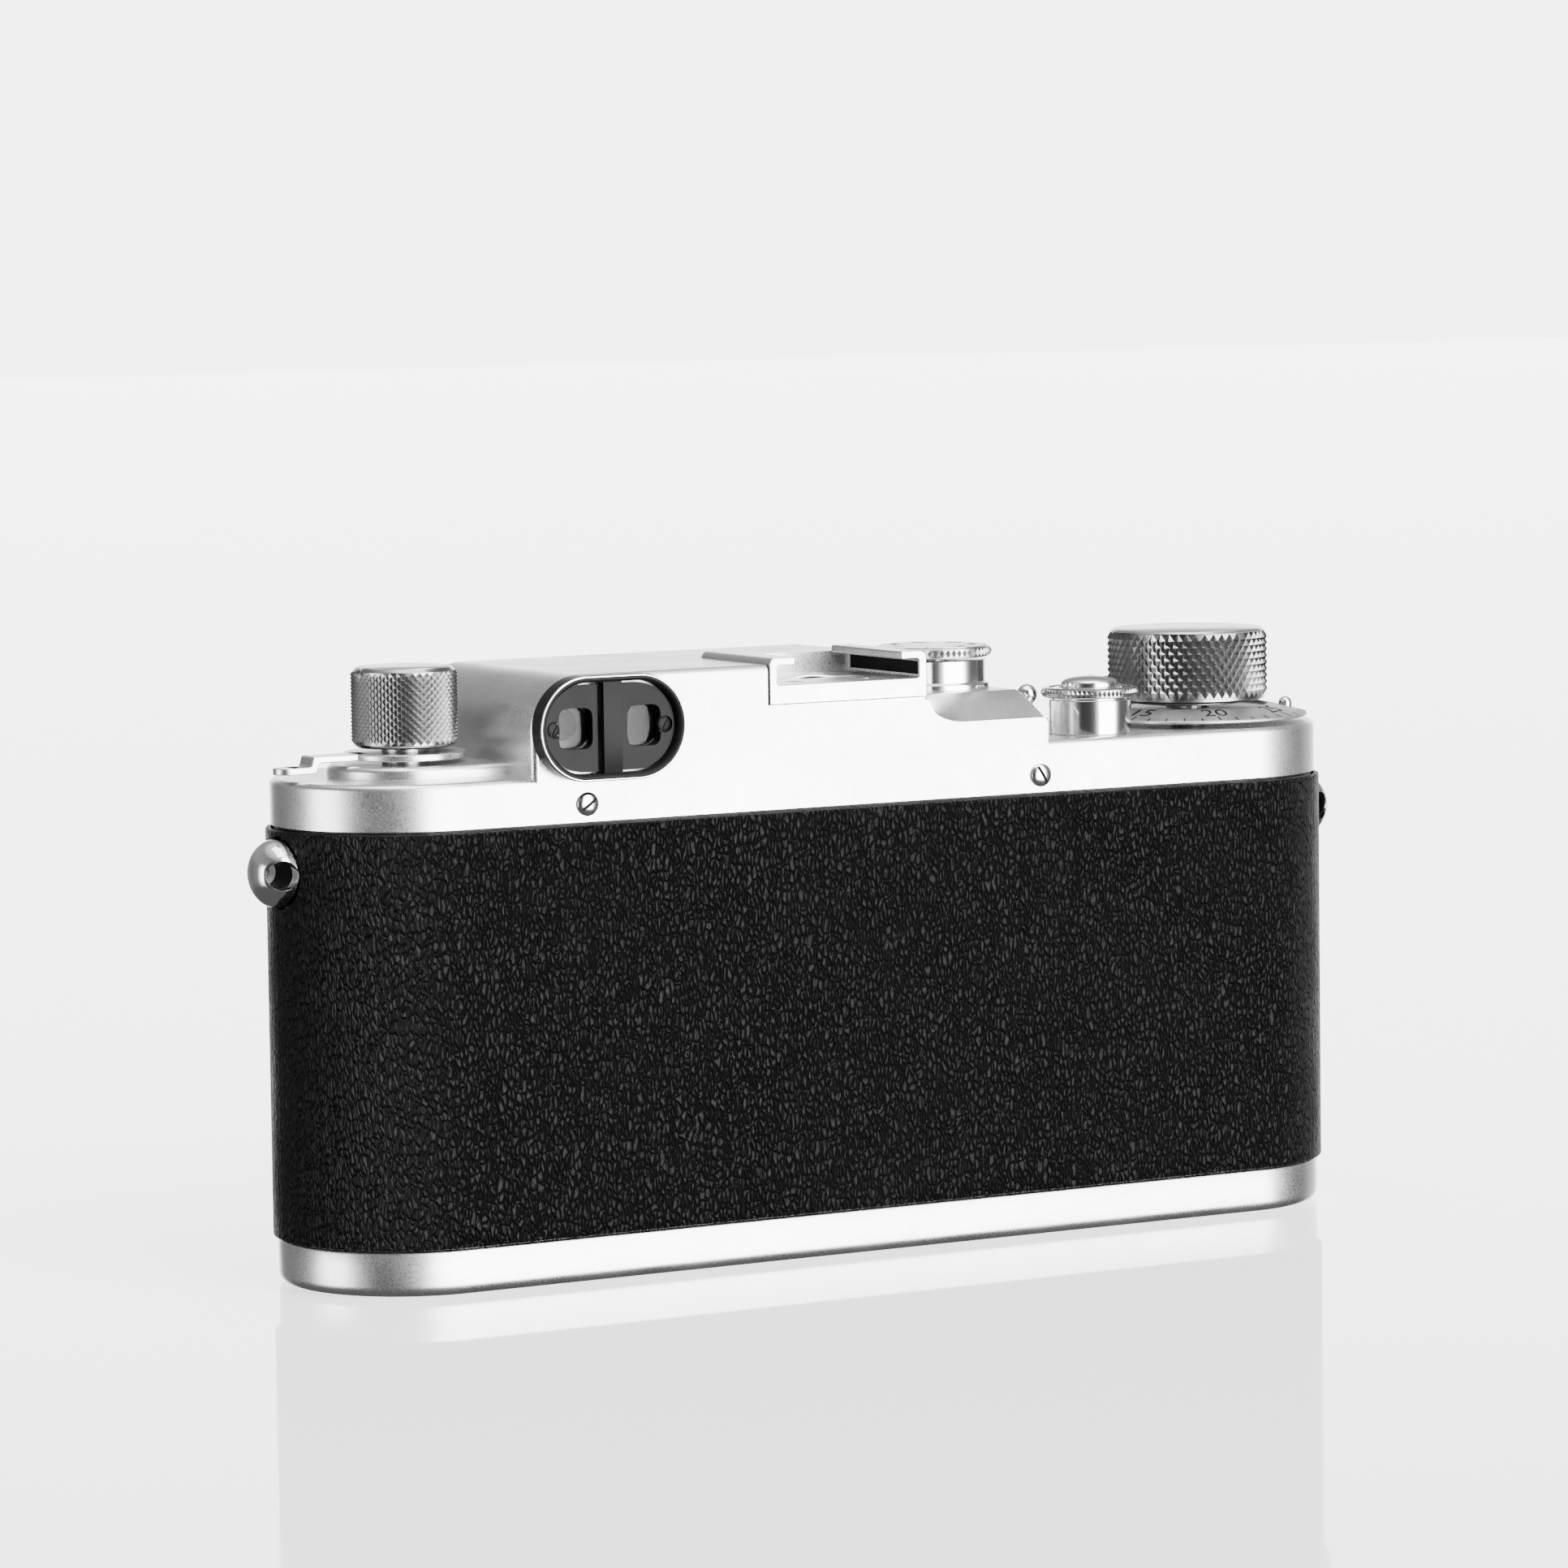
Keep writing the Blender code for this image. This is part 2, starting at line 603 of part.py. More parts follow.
def bore_cover(cover):
    """Holes for shafts, windows and screws."""
    top = HOUSING_TOP + 5
    for name, x, y, radius in (
        ("wind", WIND_X, 0, SHAFT_RADIUS + GAP),
        ("rewind", REWIND_X, 0, SHAFT_RADIUS + GAP),
        ("speed", SPEED_X, 0, SPINDLE_RADIUS + GAP),
        ("release", RELEASE_X, RELEASE_Y, 1.2 + GAP),
    ):
        cut(cover, tool(f"cut_{name}_bore", rod(radius, (x, y, COVER_FOOT), (x, y, top), 20)))
    for name, x in (("rangefinder", RANGE_X), ("finder", FINDER_X)):
        hole = rod(EYE_HOLE + 0.9, (x, COVER_BACK + 3, EYE_Z), (x, 5, EYE_Z), 20)
        cut(cover, tool(f"cut_{name}_eye", hole))
    for name, x in (("left", RANGE_X), ("right", RANGE_X - RANGE_BASE)):
        hole = rod(RANGE_GLASS_RADIUS + GAP, (x, -COVER_BACK - 3, WINDOW_Z), (x, -5, WINDOW_Z), 24)
        cut(cover, tool(f"cut_{name}_window", hole))
    half = (FINDER_WIDTH / 2 - FINDER_RIM, FINDER_HEIGHT / 2 - FINDER_RIM)
    low = (FINDER_WINDOW_X - half[0], -COVER_BACK - 3, WINDOW_Z - half[1])
    high = (FINDER_WINDOW_X + half[0], -5, WINDOW_Z + half[1])
    cut(cover, tool("cut_finder_window", box(low, high)))


def cover_screws(cover, shell):
    """Domed slotted screws that hold the cover on the shell's neck."""
    z = COVER_FOOT + BACK_SCREW_RISE
    head = arc((0, 0), 1.0, 0, 90, 3)
    profile = [(0, GAP - 2.2), (SCREW_SHANK, GAP - 2.2), (SCREW_SHANK, GAP), (SCREW_HEAD, GAP)]
    profile += [(SCREW_HEAD * a, GAP + 0.15 + SCREW_DOME * b) for a, b in head[:-1]]
    profile.append((0, GAP + 0.15 + SCREW_DOME))
    places = (
        ("rear_left", EYE_X + 2.4, 1, 35),
        ("rear_right", PLATEAU_END + 1.1, 1, -60),
        ("front_left", FRONT_SCREW_X, -1, 20),
        ("front_right", -FRONT_SCREW_X, -1, 70),
    )
    for name, x, side, slot_turn in places:
        at = (x, side * COVER_BACK, z)
        turn = BACKWARD if side > 0 else FORWARD
        screw = to_object(f"cover_screw_{name}", turned(profile, 16), "bright_chrome", at, turn)
        groove = box((-2, -0.18, GAP + 0.3), (2, 0.18, 3))
        groove.transform(Matrix.Rotation(math.radians(slot_turn), 4, "Z"))
        cut(screw, tool(f"cut_{name}_slot", groove, at, turn))
        hole = tool(f"cut_{name}_screw_hole", rod(SCREW_SHANK + GAP, (0, 0, -4), (0, 0, 2), 12), at, turn)
        cut(cover, hole)
        cut(shell, hole)


# ---- eyepieces and windows ----------------------------------------------------


def eyepieces():
    at = (EYE_X, COVER_BACK, EYE_Z)
    length, height = EYE_WIDTH, EYE_HEIGHT
    walls = [(0, GAP), (0, GAP + EYE_STAND), (EYE_RIM, GAP + EYE_STAND), (EYE_RIM, GAP)]
    loops = [slot(length - 2 * i, height - 2 * i, z, steps=12) for i, z in walls]
    bezel = to_object("eyepiece_bezel", rings(loops, True), "black_enamel", at, BACKWARD)
    half = height / 2 - EYE_RIM / 2
    bar = box((-EYE_BAR / 2, -half, GAP), (EYE_BAR / 2, half, GAP + EYE_STAND - 0.2))
    join(bezel, tool("add_eyepiece_bar", bar, at, BACKWARD))
    for name, side in (("rangefinder", 1), ("finder", -1)):
        eyepiece_window(name, side, at)


def eyepiece_window(name, side, at):
    """A half-moon plate with a round hole, and the glass behind it."""
    inner = EYE_HEIGHT / 2 - EYE_RIM - GAP
    reach = EYE_WIDTH / 2 - EYE_HEIGHT / 2
    edge = EYE_BAR / 2 + GAP
    outline = [(side * edge, -inner), *[(side * x, y) for x, y in arc((reach, 0), inner, -90, 90, 10)]]
    outline.append((side * edge, inner))
    plate = to_object(f"eyepiece_plate_{name}", prism(outline, GAP, GAP + 0.9), "black_enamel", at, BACKWARD)
    hole_x = side * EYE_SPACING / 2
    hole = rod(EYE_HOLE, (hole_x, 0, -1), (hole_x, 0, 3), 20)
    cut(plate, tool(f"cut_{name}_plate_hole", hole, at, BACKWARD))
    radius = EYE_HOLE + 0.9 - GAP
    glass_at = (EYE_X + hole_x, COVER_BACK, EYE_Z)
    profile = [(0, -0.9), (radius, -0.9), (radius, -0.1), (0, -0.1)]
    to_object(f"eyepiece_glass_{name}", turned(profile, 20), "glass", glass_at, BACKWARD)


def front_windows():
    for name, x in (("left", RANGE_X), ("right", RANGE_X - RANGE_BASE)):
        at = (x, -COVER_BACK, WINDOW_Z)
        inner = RANGE_GLASS_RADIUS
        ring = [(inner, GAP), (RANGE_RING_RADIUS, GAP), (RANGE_RING_RADIUS, 0.9), (inner + 0.7, 1.3), (inner, 1.3)]
        to_object(f"range_window_ring_{name}", turned(ring, 28), "bright_chrome", at, FORWARD)
        profile = [(0, -0.9), (inner, -0.9), (inner, -0.1), (0, -0.1)]
        to_object(f"range_window_glass_{name}", turned(profile, 24), "glass", at, FORWARD)
    at = (FINDER_WINDOW_X, -COVER_BACK, WINDOW_Z)
    width, height = FINDER_WIDTH / 2, FINDER_HEIGHT / 2
    frame = box((-width, -height, GAP), (width, height, 1.2))
    rim = to_object("finder_window_frame", frame, "bright_chrome", at, FORWARD)
    pane = (width - FINDER_RIM - GAP, height - FINDER_RIM - GAP)
    cut(rim, tool("cut_frame_opening", box((-pane[0], -pane[1], -1), (pane[0], pane[1], 3)), at, FORWARD))
    glass = box((-pane[0], -pane[1], -0.9), (pane[0], pane[1], -0.1))
    to_object("finder_window_glass", glass, "glass", at, FORWARD)


def optical_block():
    """The finder tunnel and the rangefinder's prism housing, inside the top housing."""
    side = COVER_BACK - COVER_WALL - 1.0
    low = (FINDER_X - 5.0, -side, REWIND_DECK + 0.6)
    high = (RANGE_X + 2.0, side, HOUSING_TOP - COVER_WALL - 2.7)
    block = to_object("optical_block", box(low, high), "black_alloy")
    tunnel = box((FINDER_X - 3.9, -20, WINDOW_Z - 2.4), (FINDER_X + 3.9, 20, WINDOW_Z + 2.4))
    eye = rod(1.8, (RANGE_X, -20, WINDOW_Z), (RANGE_X, 20, WINDOW_Z), 16)
    cut(block, tool("cut_finder_tunnel", tunnel), tool("cut_range_tunnel", eye))


# ---- accessory shoe -----------------------------------------------------------


def accessory_shoe():
    foot = SHOE_SEAT + GAP
    floor, top = foot + SHOE_FLOOR, foot + SHOE_RISE
    half, inner, lip = SHOE_WIDTH / 2, SHOE_INNER / 2, SHOE_SLOT / 2
    front, back = COVER_BACK - SHOE_LENGTH, COVER_BACK
    side = [(half, foot), (half, top), (lip, top), (lip, top - SHOE_LIP), (inner, top - SHOE_LIP)]
    side += [(inner, floor - SHOE_GROOVE), (lip - 0.4, floor - SHOE_GROOVE), (lip - 0.4, floor)]
    outline = [(SHOE_X + x, z) for x, z in side] + [(SHOE_X - x, z) for x, z in reversed(side)]
    shoe = to_object("accessory_shoe", prism(outline, front, back, "Y"), "satin_chrome")
    groove = box((-inner + 0.3, front + 3.0, floor - 0.7), (inner - 0.3, front + 8.0, floor + 0.01))
    groove.transform(Matrix.Translation((SHOE_X, 0, 0)))
    cut(shoe, tool("cut_spring_seat", groove))
    low, high = floor - 0.7 + GAP, floor + 0.1
    leaf_x = inner - 0.6
    leaf = box((SHOE_X - leaf_x, front + 3.3, low), (SHOE_X + leaf_x, front + 7.7, high))
    to_object("shoe_spring", leaf, "steel")


# ---- wind side ----------------------------------------------------------------


def knob(name, radius, height, bore_depth, at, steps=32):
    """A plain turned knob with chamfered rims and a blind bore for its shaft."""
    chamfer = 0.45
    bore = SHAFT_RADIUS + GAP
    profile = [(0, bore_depth), (bore, bore_depth), (bore, 0), (radius - chamfer, 0), (radius, chamfer)]
    profile += [(radius, height - chamfer), (radius - chamfer, height), (0, height)]
    return to_object(name, turned(profile, steps), "bright_chrome", at)


def wind_side():
    foot = WIND_DECK + WIND_KNOB_LIFT
    knob("wind_knob", WIND_KNOB_RADIUS, WIND_KNOB_HEIGHT, WIND_KNOB_HEIGHT - 2.5, (WIND_X, 0, foot))

    gear_low = CRATE_TOP + GAP
    pitch_radius = math.hypot(SPROCKET_FROM_WIND, SPROCKET_Y) / 2
    towards = math.atan2(SPROCKET_Y, SPROCKET_FROM_WIND)
    low, high = CRATE_FOOT + 0.2, foot + WIND_KNOB_HEIGHT - 2.5 - GAP
    shaft = to_object("wind_shaft", rod(SHAFT_RADIUS, (0, 0, low), (0, 0, high), 20), "steel", (WIND_X, 0, 0))
    wheel = gear(GEAR_TEETH, pitch_radius, gear_low, gear_low + GEAR_THICKNESS, towards)
    join(shaft, tool("add_wind_gear", wheel, (WIND_X, 0, 0)))

    low = CRATE_FOOT + CRATE_WALL + GAP
    high = CRATE_TOP - CRATE_WALL - GAP
    bore = SHAFT_RADIUS + GAP
    profile = [(bore, low), (SPOOL_FLANGE, low), (SPOOL_FLANGE, low + 1), (SPOOL_RADIUS, low + 1)]
    profile += [(SPOOL_RADIUS, high - 1), (SPOOL_FLANGE, high - 1), (SPOOL_FLANGE, high), (bore, high)]
    to_object("take_up_spool", turned(profile, 24), "black_enamel", (WIND_X, 0, 0))

    at = (SPROCKET_X, SPROCKET_Y, 0)
    middle = (low + high) / 2
    reach = (high - low) / 2 - SPROCKET_INSET
    narrow = SPROCKET_RADIUS - 1.8
    profile = [(0, CRATE_FOOT + 0.2), (1.4, CRATE_FOOT + 0.2), (1.4, middle - reach - 2.2)]
    profile += [(SPROCKET_RADIUS, middle - reach - 2.2), (SPROCKET_RADIUS, middle - reach + 2.2)]
    profile += [(narrow, middle - reach + 2.2), (narrow, middle + reach - 2.2)]
    profile += [(SPROCKET_RADIUS, middle + reach - 2.2), (SPROCKET_RADIUS, middle + reach + 2.2)]
    profile += [(1.4, middle + reach + 2.2), (1.4, gear_low + 0.5), (0, gear_low + 0.5)]
    sprocket = to_object("sprocket_drum", turned(profile, 24), "steel", at)
    facing = towards + math.pi + math.pi / GEAR_TEETH
    wheel = gear(GEAR_TEETH, pitch_radius, gear_low, gear_low + GEAR_THICKNESS, facing)
    join(sprocket, tool("add_sprocket_gear", wheel, at))


def counter_dial():
    low = WIND_DECK + 0.55
    edge = low + DIAL_EDGE
    top = edge + DIAL_CONE
    bore = SHAFT_RADIUS + 0.6
    inner = WIND_KNOB_RADIUS + 0.3
    profile = [(bore, low), (DIAL_RADIUS, low), (DIAL_RADIUS, edge), (inner, top), (bore, top)]
    dial = to_object("counter_dial", turned(profile, 36), "satin_chrome", (WIND_X, 0, 0))
    slope = DIAL_CONE / (DIAL_RADIUS - inner)
    pin_z = edge + (DIAL_RADIUS - DIAL_PIN_CIRCLE) * slope + 0.35
    for i in range(2):
        turn = math.radians(165 + 180 * i)
        x, y = DIAL_PIN_CIRCLE * math.cos(turn), DIAL_PIN_CIRCLE * math.sin(turn)
        half_round = arc((0, 0), DIAL_PIN_RADIUS, -90, 90, 6)
        ball = turned([(0, -DIAL_PIN_RADIUS), *half_round[1:-1], (0, DIAL_PIN_RADIUS)], 12)
        ball.transform(Matrix.Translation((x, y, pin_z)))
        join(dial, tool(f"add_dial_pin_{i + 1}", ball, (WIND_X, 0, 0)))


# ---- rewind side --------------------------------------------------------------


def rewind_side():
    foot = REWIND_DECK + REWIND_KNOB_LIFT
    at = (REWIND_X, 0, foot)
    knob("rewind_knob", REWIND_KNOB_RADIUS, REWIND_KNOB_HEIGHT, REWIND_KNOB_HEIGHT - 2.0, at, 28)
    low, high = CRATE_TOP - 3, foot + REWIND_KNOB_HEIGHT - 2.0 - GAP
    at = (REWIND_X, 0, 0)
    shaft = to_object("rewind_shaft", rod(SHAFT_RADIUS, (0, 0, low), (0, 0, high), 20), "steel", at)
    blade = box((-3.2, -0.7, low - 5), (3.2, 0.7, low + 0.8))
    join(shaft, tool("add_rewind_fork", blade, at))


def diopter_lever():
    """A disc under the rewind knob whose arm steps down and reaches past the body's end."""
    top = REWIND_DECK + REWIND_KNOB_LIFT - GAP - 0.2
    low = top - LEVER_THICKNESS
    bore = SHAFT_RADIUS + GAP
    profile = [(bore, low), (LEVER_DISC_RADIUS, low), (LEVER_DISC_RADIUS, top), (bore, top)]
    at = (REWIND_X, 0, 0)
    lever = to_object("diopter_lever", turned(profile, 32), "satin_chrome", at)
    half = LEVER_WIDTH / 2
    start, elbow, tip = LEVER_DISC_RADIUS - 2, LEVER_ELBOW, LEVER_REACH
    side = [(start, low), (elbow - 0.4, low), (elbow - 0.4, low - LEVER_DROP), (tip, low - LEVER_DROP)]
    side += [(tip, top - LEVER_DROP), (elbow + 0.6, top - LEVER_DROP), (elbow + 0.6, top), (start, top)]
    join(lever, tool("add_diopter_arm", prism(side, -half, half, "Y"), at))


# ---- release, levers and speed dials ------------------------------------------


def release():
    at = (RELEASE_X, RELEASE_Y, WIND_DECK)
    bore = BUTTON_RADIUS + GAP
    shoulder = COLLAR_HEIGHT
    neck, top = COLLAR_RADIUS - 0.35, shoulder + GAP + RING_HEIGHT - 0.1
    profile = [(bore, GAP), (COLLAR_RADIUS, GAP), (COLLAR_RADIUS, shoulder), (neck, shoulder)]
    profile += [(neck, top), (bore, top)]
    to_object("release_collar", turned(profile, 32), "bright_chrome", at)

    inner, low = neck + GAP, shoulder + GAP
    profile = [(inner, low), (RING_RADIUS - 0.3, low), (RING_RADIUS, low + 0.2)]
    profile += [(RING_RADIUS, low + RING_HEIGHT - 0.2), (RING_RADIUS - 0.5, low + RING_HEIGHT)]
    profile.append((inner, low + RING_HEIGHT))
    to_object("release_ring", turned(profile, 32), "bright_chrome", at)

    head = low + RING_HEIGHT + 0.45
    dome = arc((0, 0), 1.0, 0, 90, 4)
    profile = [(0, -1.5), (1.2, -1.5), (1.2, RELEASE_TRAVEL + 0.6), (BUTTON_RADIUS, RELEASE_TRAVEL + 0.6)]
    profile += [(BUTTON_RADIUS * a, head + BUTTON_DOME * b) for a, b in dome[:-1]]
    profile.append((0, head + BUTTON_DOME))
    to_object("release_button", turned(profile, 28), "bright_chrome", at)


def advance_rewind_lever():
    """A small lever in front of the release, with a round finger knob at its end."""
    at = (LEVER_X, LEVER_Y, WIND_DECK)
    profile = [(0, GAP), (2.2, GAP), (2.2, 2.2), (1.6, 2.7), (0, 2.7)]
    lever = to_object("advance_rewind_lever", turned(profile, 20), "bright_chrome", at)
    reach = 5.9
    arm = box((-reach, -0.9, 0.9), (0, 0.9, 1.9))
    ball = arc((0, 0), 1.25, -60, 90, 5)
    stem = [(0, 0.9), (0.9, 0.9), *[(x, 3.4 + z) for x, z in ball[:-1]], (0, 4.65)]
    finger = turned(stem, 14)
    finger.transform(Matrix.Translation((-reach, 0, 0)))
    join(lever, tool("add_lever_arm", arm, at), tool("add_lever_finger", finger, at))


def speed_dials():
    at = (SPEED_X, 0, PLATEAU)
    bore = SPINDLE_RADIUS + GAP
    top = GAP + COLUMN_HEIGHT
    profile = [(bore, GAP), (COLUMN_RADIUS + 0.5, GAP), (COLUMN_RADIUS + 0.5, GAP + 0.5)]
    profile += [(COLUMN_RADIUS, GAP + 0.5), (COLUMN_RADIUS, top), (bore, top)]
    to_object("speed_dial_column", turned(profile, 32), "bright_chrome", at)

    low, high = top + GAP, top + GAP + SPEED_DIAL_HEIGHT
    profile = [(0, -4), (SPINDLE_RADIUS, -4), (SPINDLE_RADIUS, top), (1.8, top), (1.8, high - 0.8), (0, high - 0.8)]
    to_object("speed_spindle", turned(profile, 20), "steel", at)

    bore = 1.8 + GAP
    profile = [(0, high - 0.5), (bore, high - 0.5), (bore, low), (SPEED_DIAL_RADIUS - 0.2, low)]
    profile += [(SPEED_DIAL_RADIUS, low + 0.2), (SPEED_DIAL_RADIUS, high - 0.2)]
    profile += [(SPEED_DIAL_RADIUS - 0.3, high), (0, high)]
    to_object("speed_dial", turned(profile, 36), "satin_chrome", at)


def slow_speed_dial(shell, skin):
    z = SKIN_TOP - SLOW_DIAL_BELOW_TOP
    at = (SLOW_DIAL_X, 0, z)
    face = BODY_DEPTH / 2 + GAP
    stem = CRATE_FRONT + GAP
    profile = [(0, stem), (1.8, stem), (1.8, face), (SLOW_DIAL_RADIUS, face)]
    profile += [(SLOW_DIAL_RADIUS, face + 1.0), (SLOW_DIAL_RADIUS - 0.5, face + 1.5), (0, face + 1.5)]
    dial = to_object("slow_speed_dial", turned(profile, 28), "satin_chrome", at, FORWARD)
    tab = box((-1.0, SLOW_DIAL_RADIUS - 2.4, face + 1.3), (1.0, SLOW_DIAL_RADIUS - 0.7, face + 2.3))
    join(dial, tool("add_slow_dial_tab", tab, at, FORWARD))
    hole = tool("cut_slow_dial_bore", rod(1.8 + GAP, (0, 0, 5), (0, 0, 20), 16), at, FORWARD)
    cut(shell, hole)
    cut(skin, hole)


# ---- lens ---------------------------------------------------------------------


def lens(shell, base, cover):
    at = (0, 0, LENS_Z)
    inside, face = ROOM_BACK, FLANGE_FACE
    neck = THREAD_RADIUS + 0.9
    foot = SHELL_BACK + GAP
    profile = [(THREAD_RADIUS, inside), (neck, inside), (neck, foot), (FLANGE_RADIUS, foot)]
    profile += [(FLANGE_RADIUS, face - 0.3), (FLANGE_RADIUS - 0.3, face), (THREAD_RADIUS, face)]
    to_object("lens_flange", turned(profile, 32), "bright_chrome", at, FORWARD)
    relief = rod(FLANGE_RADIUS + GAP, (0, 0, foot - GAP), (0, 0, BODY_DEPTH), 32)
    throat = rod(neck + GAP, (0, 0, inside - GAP), (0, 0, BODY_DEPTH), 32)
    reliefs = [tool("cut_flange_relief", relief, at, FORWARD), tool("cut_throat_relief", throat, at, FORWARD)]
    for plate in (base, cover):
        cut(plate, *reliefs)
    hole = rod(neck + GAP, (0, 0, 2), (0, 0, BODY_DEPTH), 32)
    cut(shell, tool("cut_shell_throat", hole, at, FORWARD))

    bore = CARRIER_RADIUS + GAP
    seat = face + GAP
    ring_top = seat + 2.0
    profile = [(bore, inside + 0.2), (THREAD_RADIUS - GAP, inside + 0.2), (THREAD_RADIUS - GAP, seat)]
    profile += [(MOUNT_RING_RADIUS, seat), (MOUNT_RING_RADIUS, ring_top - 0.4)]
    profile += [(MOUNT_RING_RADIUS - 0.4, ring_top), (bore, ring_top)]
    to_object("lens_mount_ring", turned(profile, 28), "satin_chrome", at, FORWARD)

    low = ring_top + GAP
    high = low + FOCUS_RING_WIDTH
    profile = [(bore, low), (FOCUS_RING_RADIUS, low), (FOCUS_RING_RADIUS, high - 0.5)]
    profile += [(FOCUS_RING_RADIUS - 0.6, high), (bore, high)]
    focus = to_object("focus_ring", turned(profile, 28), "satin_chrome", at, FORWARD)
    tab = rod(2.6, (FOCUS_TAB_REACH - 2.6, 0, low + 0.3), (FOCUS_TAB_REACH - 2.6, 0, high + 1.2), 16)
    arm = box((FOCUS_RING_RADIUS - 2, -1.8, low + 0.3), (FOCUS_TAB_REACH - 2.6, 1.8, high - 0.6))
    for name, bm in (("finger", tab), ("arm", arm)):
        bm.transform(Matrix.Rotation(math.radians(-120), 4, "Z"))
        join(focus, tool(f"add_focus_{name}", bm, at, FORWARD))

    collar = high + GAP
    tube_bore = TUBE_RADIUS + GAP
    front = collar + 1.5
    profile = [(tube_bore, inside - 0.2), (CARRIER_RADIUS, inside - 0.2), (CARRIER_RADIUS, collar)]
    profile += [(CARRIER_RADIUS + 2.6, collar), (CARRIER_RADIUS + 2.6, front - 0.3)]
    profile += [(CARRIER_RADIUS + 2.3, front), (tube_bore, front)]
    to_object("lens_carrier", turned(profile, 28), "satin_chrome", at, FORWARD)
    lens_head(at, front)


def lens_head(at, front):
    """The collapsing tube with the lens head at its end, the glasses and the aperture ring."""
    back = front - 2.5
    head = front + 0.7 + TUBE_TRAVEL
    nose = head + HEAD_LENGTH
    cell = GLASS_RADIUS + GAP
    inner = TUBE_RADIUS - TUBE_WALL
    web = head - 3.0
    dish = head + 1.6
    profile = [(inner, back), (TUBE_RADIUS, back), (TUBE_RADIUS, head), (HEAD_RADIUS, head)]
    profile += [(HEAD_RADIUS, nose - 0.4), (HEAD_RADIUS - 0.4, nose), (HEAD_RADIUS - 2.2, nose)]
    profile += [(HEAD_RADIUS - 3.4, dish), (cell, dish), (cell, web), (inner, web)]
    to_object("lens_tube", turned(profile, 28), "bright_chrome", at, FORWARD)

    low = dish + GAP
    rim = HEAD_RADIUS - 3.4 - GAP
    profile = [(cell + 1.2, low), (rim, low), (rim, low + 0.5), (cell + 1.2, low + 0.9)]
    ring = to_object("aperture_ring", turned(profile, 24), "satin_chrome", at, FORWARD)
    tab = box((rim - 2.6, -0.7, low + 0.2), (rim - 0.9, 0.7, low + 1.9))
    tab.transform(Matrix.Rotation(math.radians(60), 4, "Z"))
    join(ring, tool("add_aperture_tab", tab, at, FORWARD))

    bulge = arc((0, 0), 1.0, 0, 90, 3)
    profile = [(0, head - 0.6), (GLASS_RADIUS, head - 0.6)]
    profile += [(GLASS_RADIUS * a, head + 1.0 + 1.1 * b) for a, b in bulge[:-1]] + [(0, head + 2.1)]
    to_object("front_glass", turned(profile, 24), "glass", at, FORWARD)
    profile = [(0, web - 1.3)] + [(GLASS_RADIUS * a, web + 0.2 - 1.5 * b) for a, b in reversed(bulge[:-1])]
    profile += [(GLASS_RADIUS, head - 1.4), (0, head - 1.4)]
    to_object("rear_glass", turned(profile, 24), "glass", at, FORWARD)


# ---- shutter and film path ----------------------------------------------------


def shutter_crate():
    low = (-CRATE_HALF, -CRATE_FRONT, CRATE_FOOT)
    high = (CRATE_HALF, CRATE_BACK, CRATE_TOP)
    crate = to_object("shutter_crate", box(low, high), "black_alloy")
    wing_reach = WIND_X - 7.6
    for name, z in (("bottom", CRATE_FOOT), ("top", CRATE_TOP - CRATE_WALL)):
        wing = box((wing_reach, -9.4, z), (2 - CRATE_HALF, 9.4, z + CRATE_WALL))
        join(crate, tool(f"add_{name}_plate", wing))
    wall = Vector((CRATE_WALL, CRATE_WALL, CRATE_WALL))
    cut(crate, tool("cut_crate_room", box(Vector(low) + wall, Vector(high) - wall)))
    throat = rod(CARRIER_RADIUS + 1.4, (0, -CRATE_FRONT - 2, LENS_Z), (0, -5, LENS_Z), 28)
    gate_low = (-FRAME_WIDTH / 2, 5, LENS_Z - FRAME_HEIGHT / 2)
    gate_high = (FRAME_WIDTH / 2, CRATE_BACK + 2, LENS_Z + FRAME_HEIGHT / 2)
    arm_slot = box((-3.2, -CRATE_FRONT - 1, LENS_Z + 12), (3.2, -5.6, CRATE_TOP + 1))
    cut(crate, tool("cut_crate_throat", throat), tool("cut_crate_gate", box(gate_low, gate_high)))
    cut(crate, tool("cut_arm_slot", arm_slot))
    for name, x, y, radius in (
        ("wind", WIND_X, 0, SHAFT_RADIUS + GAP),
        ("sprocket", SPROCKET_X, SPROCKET_Y, 1.4 + GAP),
        ("drum", -DRUM_X, CURTAIN_Y - GAP - DRUM_RADIUS, 1.0 + GAP),
        ("roller", DRUM_X, CURTAIN_Y - GAP - ROLLER_RADIUS, 1.0 + GAP),
    ):
        bore = rod(radius, (x, y, CRATE_FOOT - 2), (x, y, CRATE_TOP + 2), 14)
        cut(crate, tool(f"cut_crate_{name}_bore", bore))


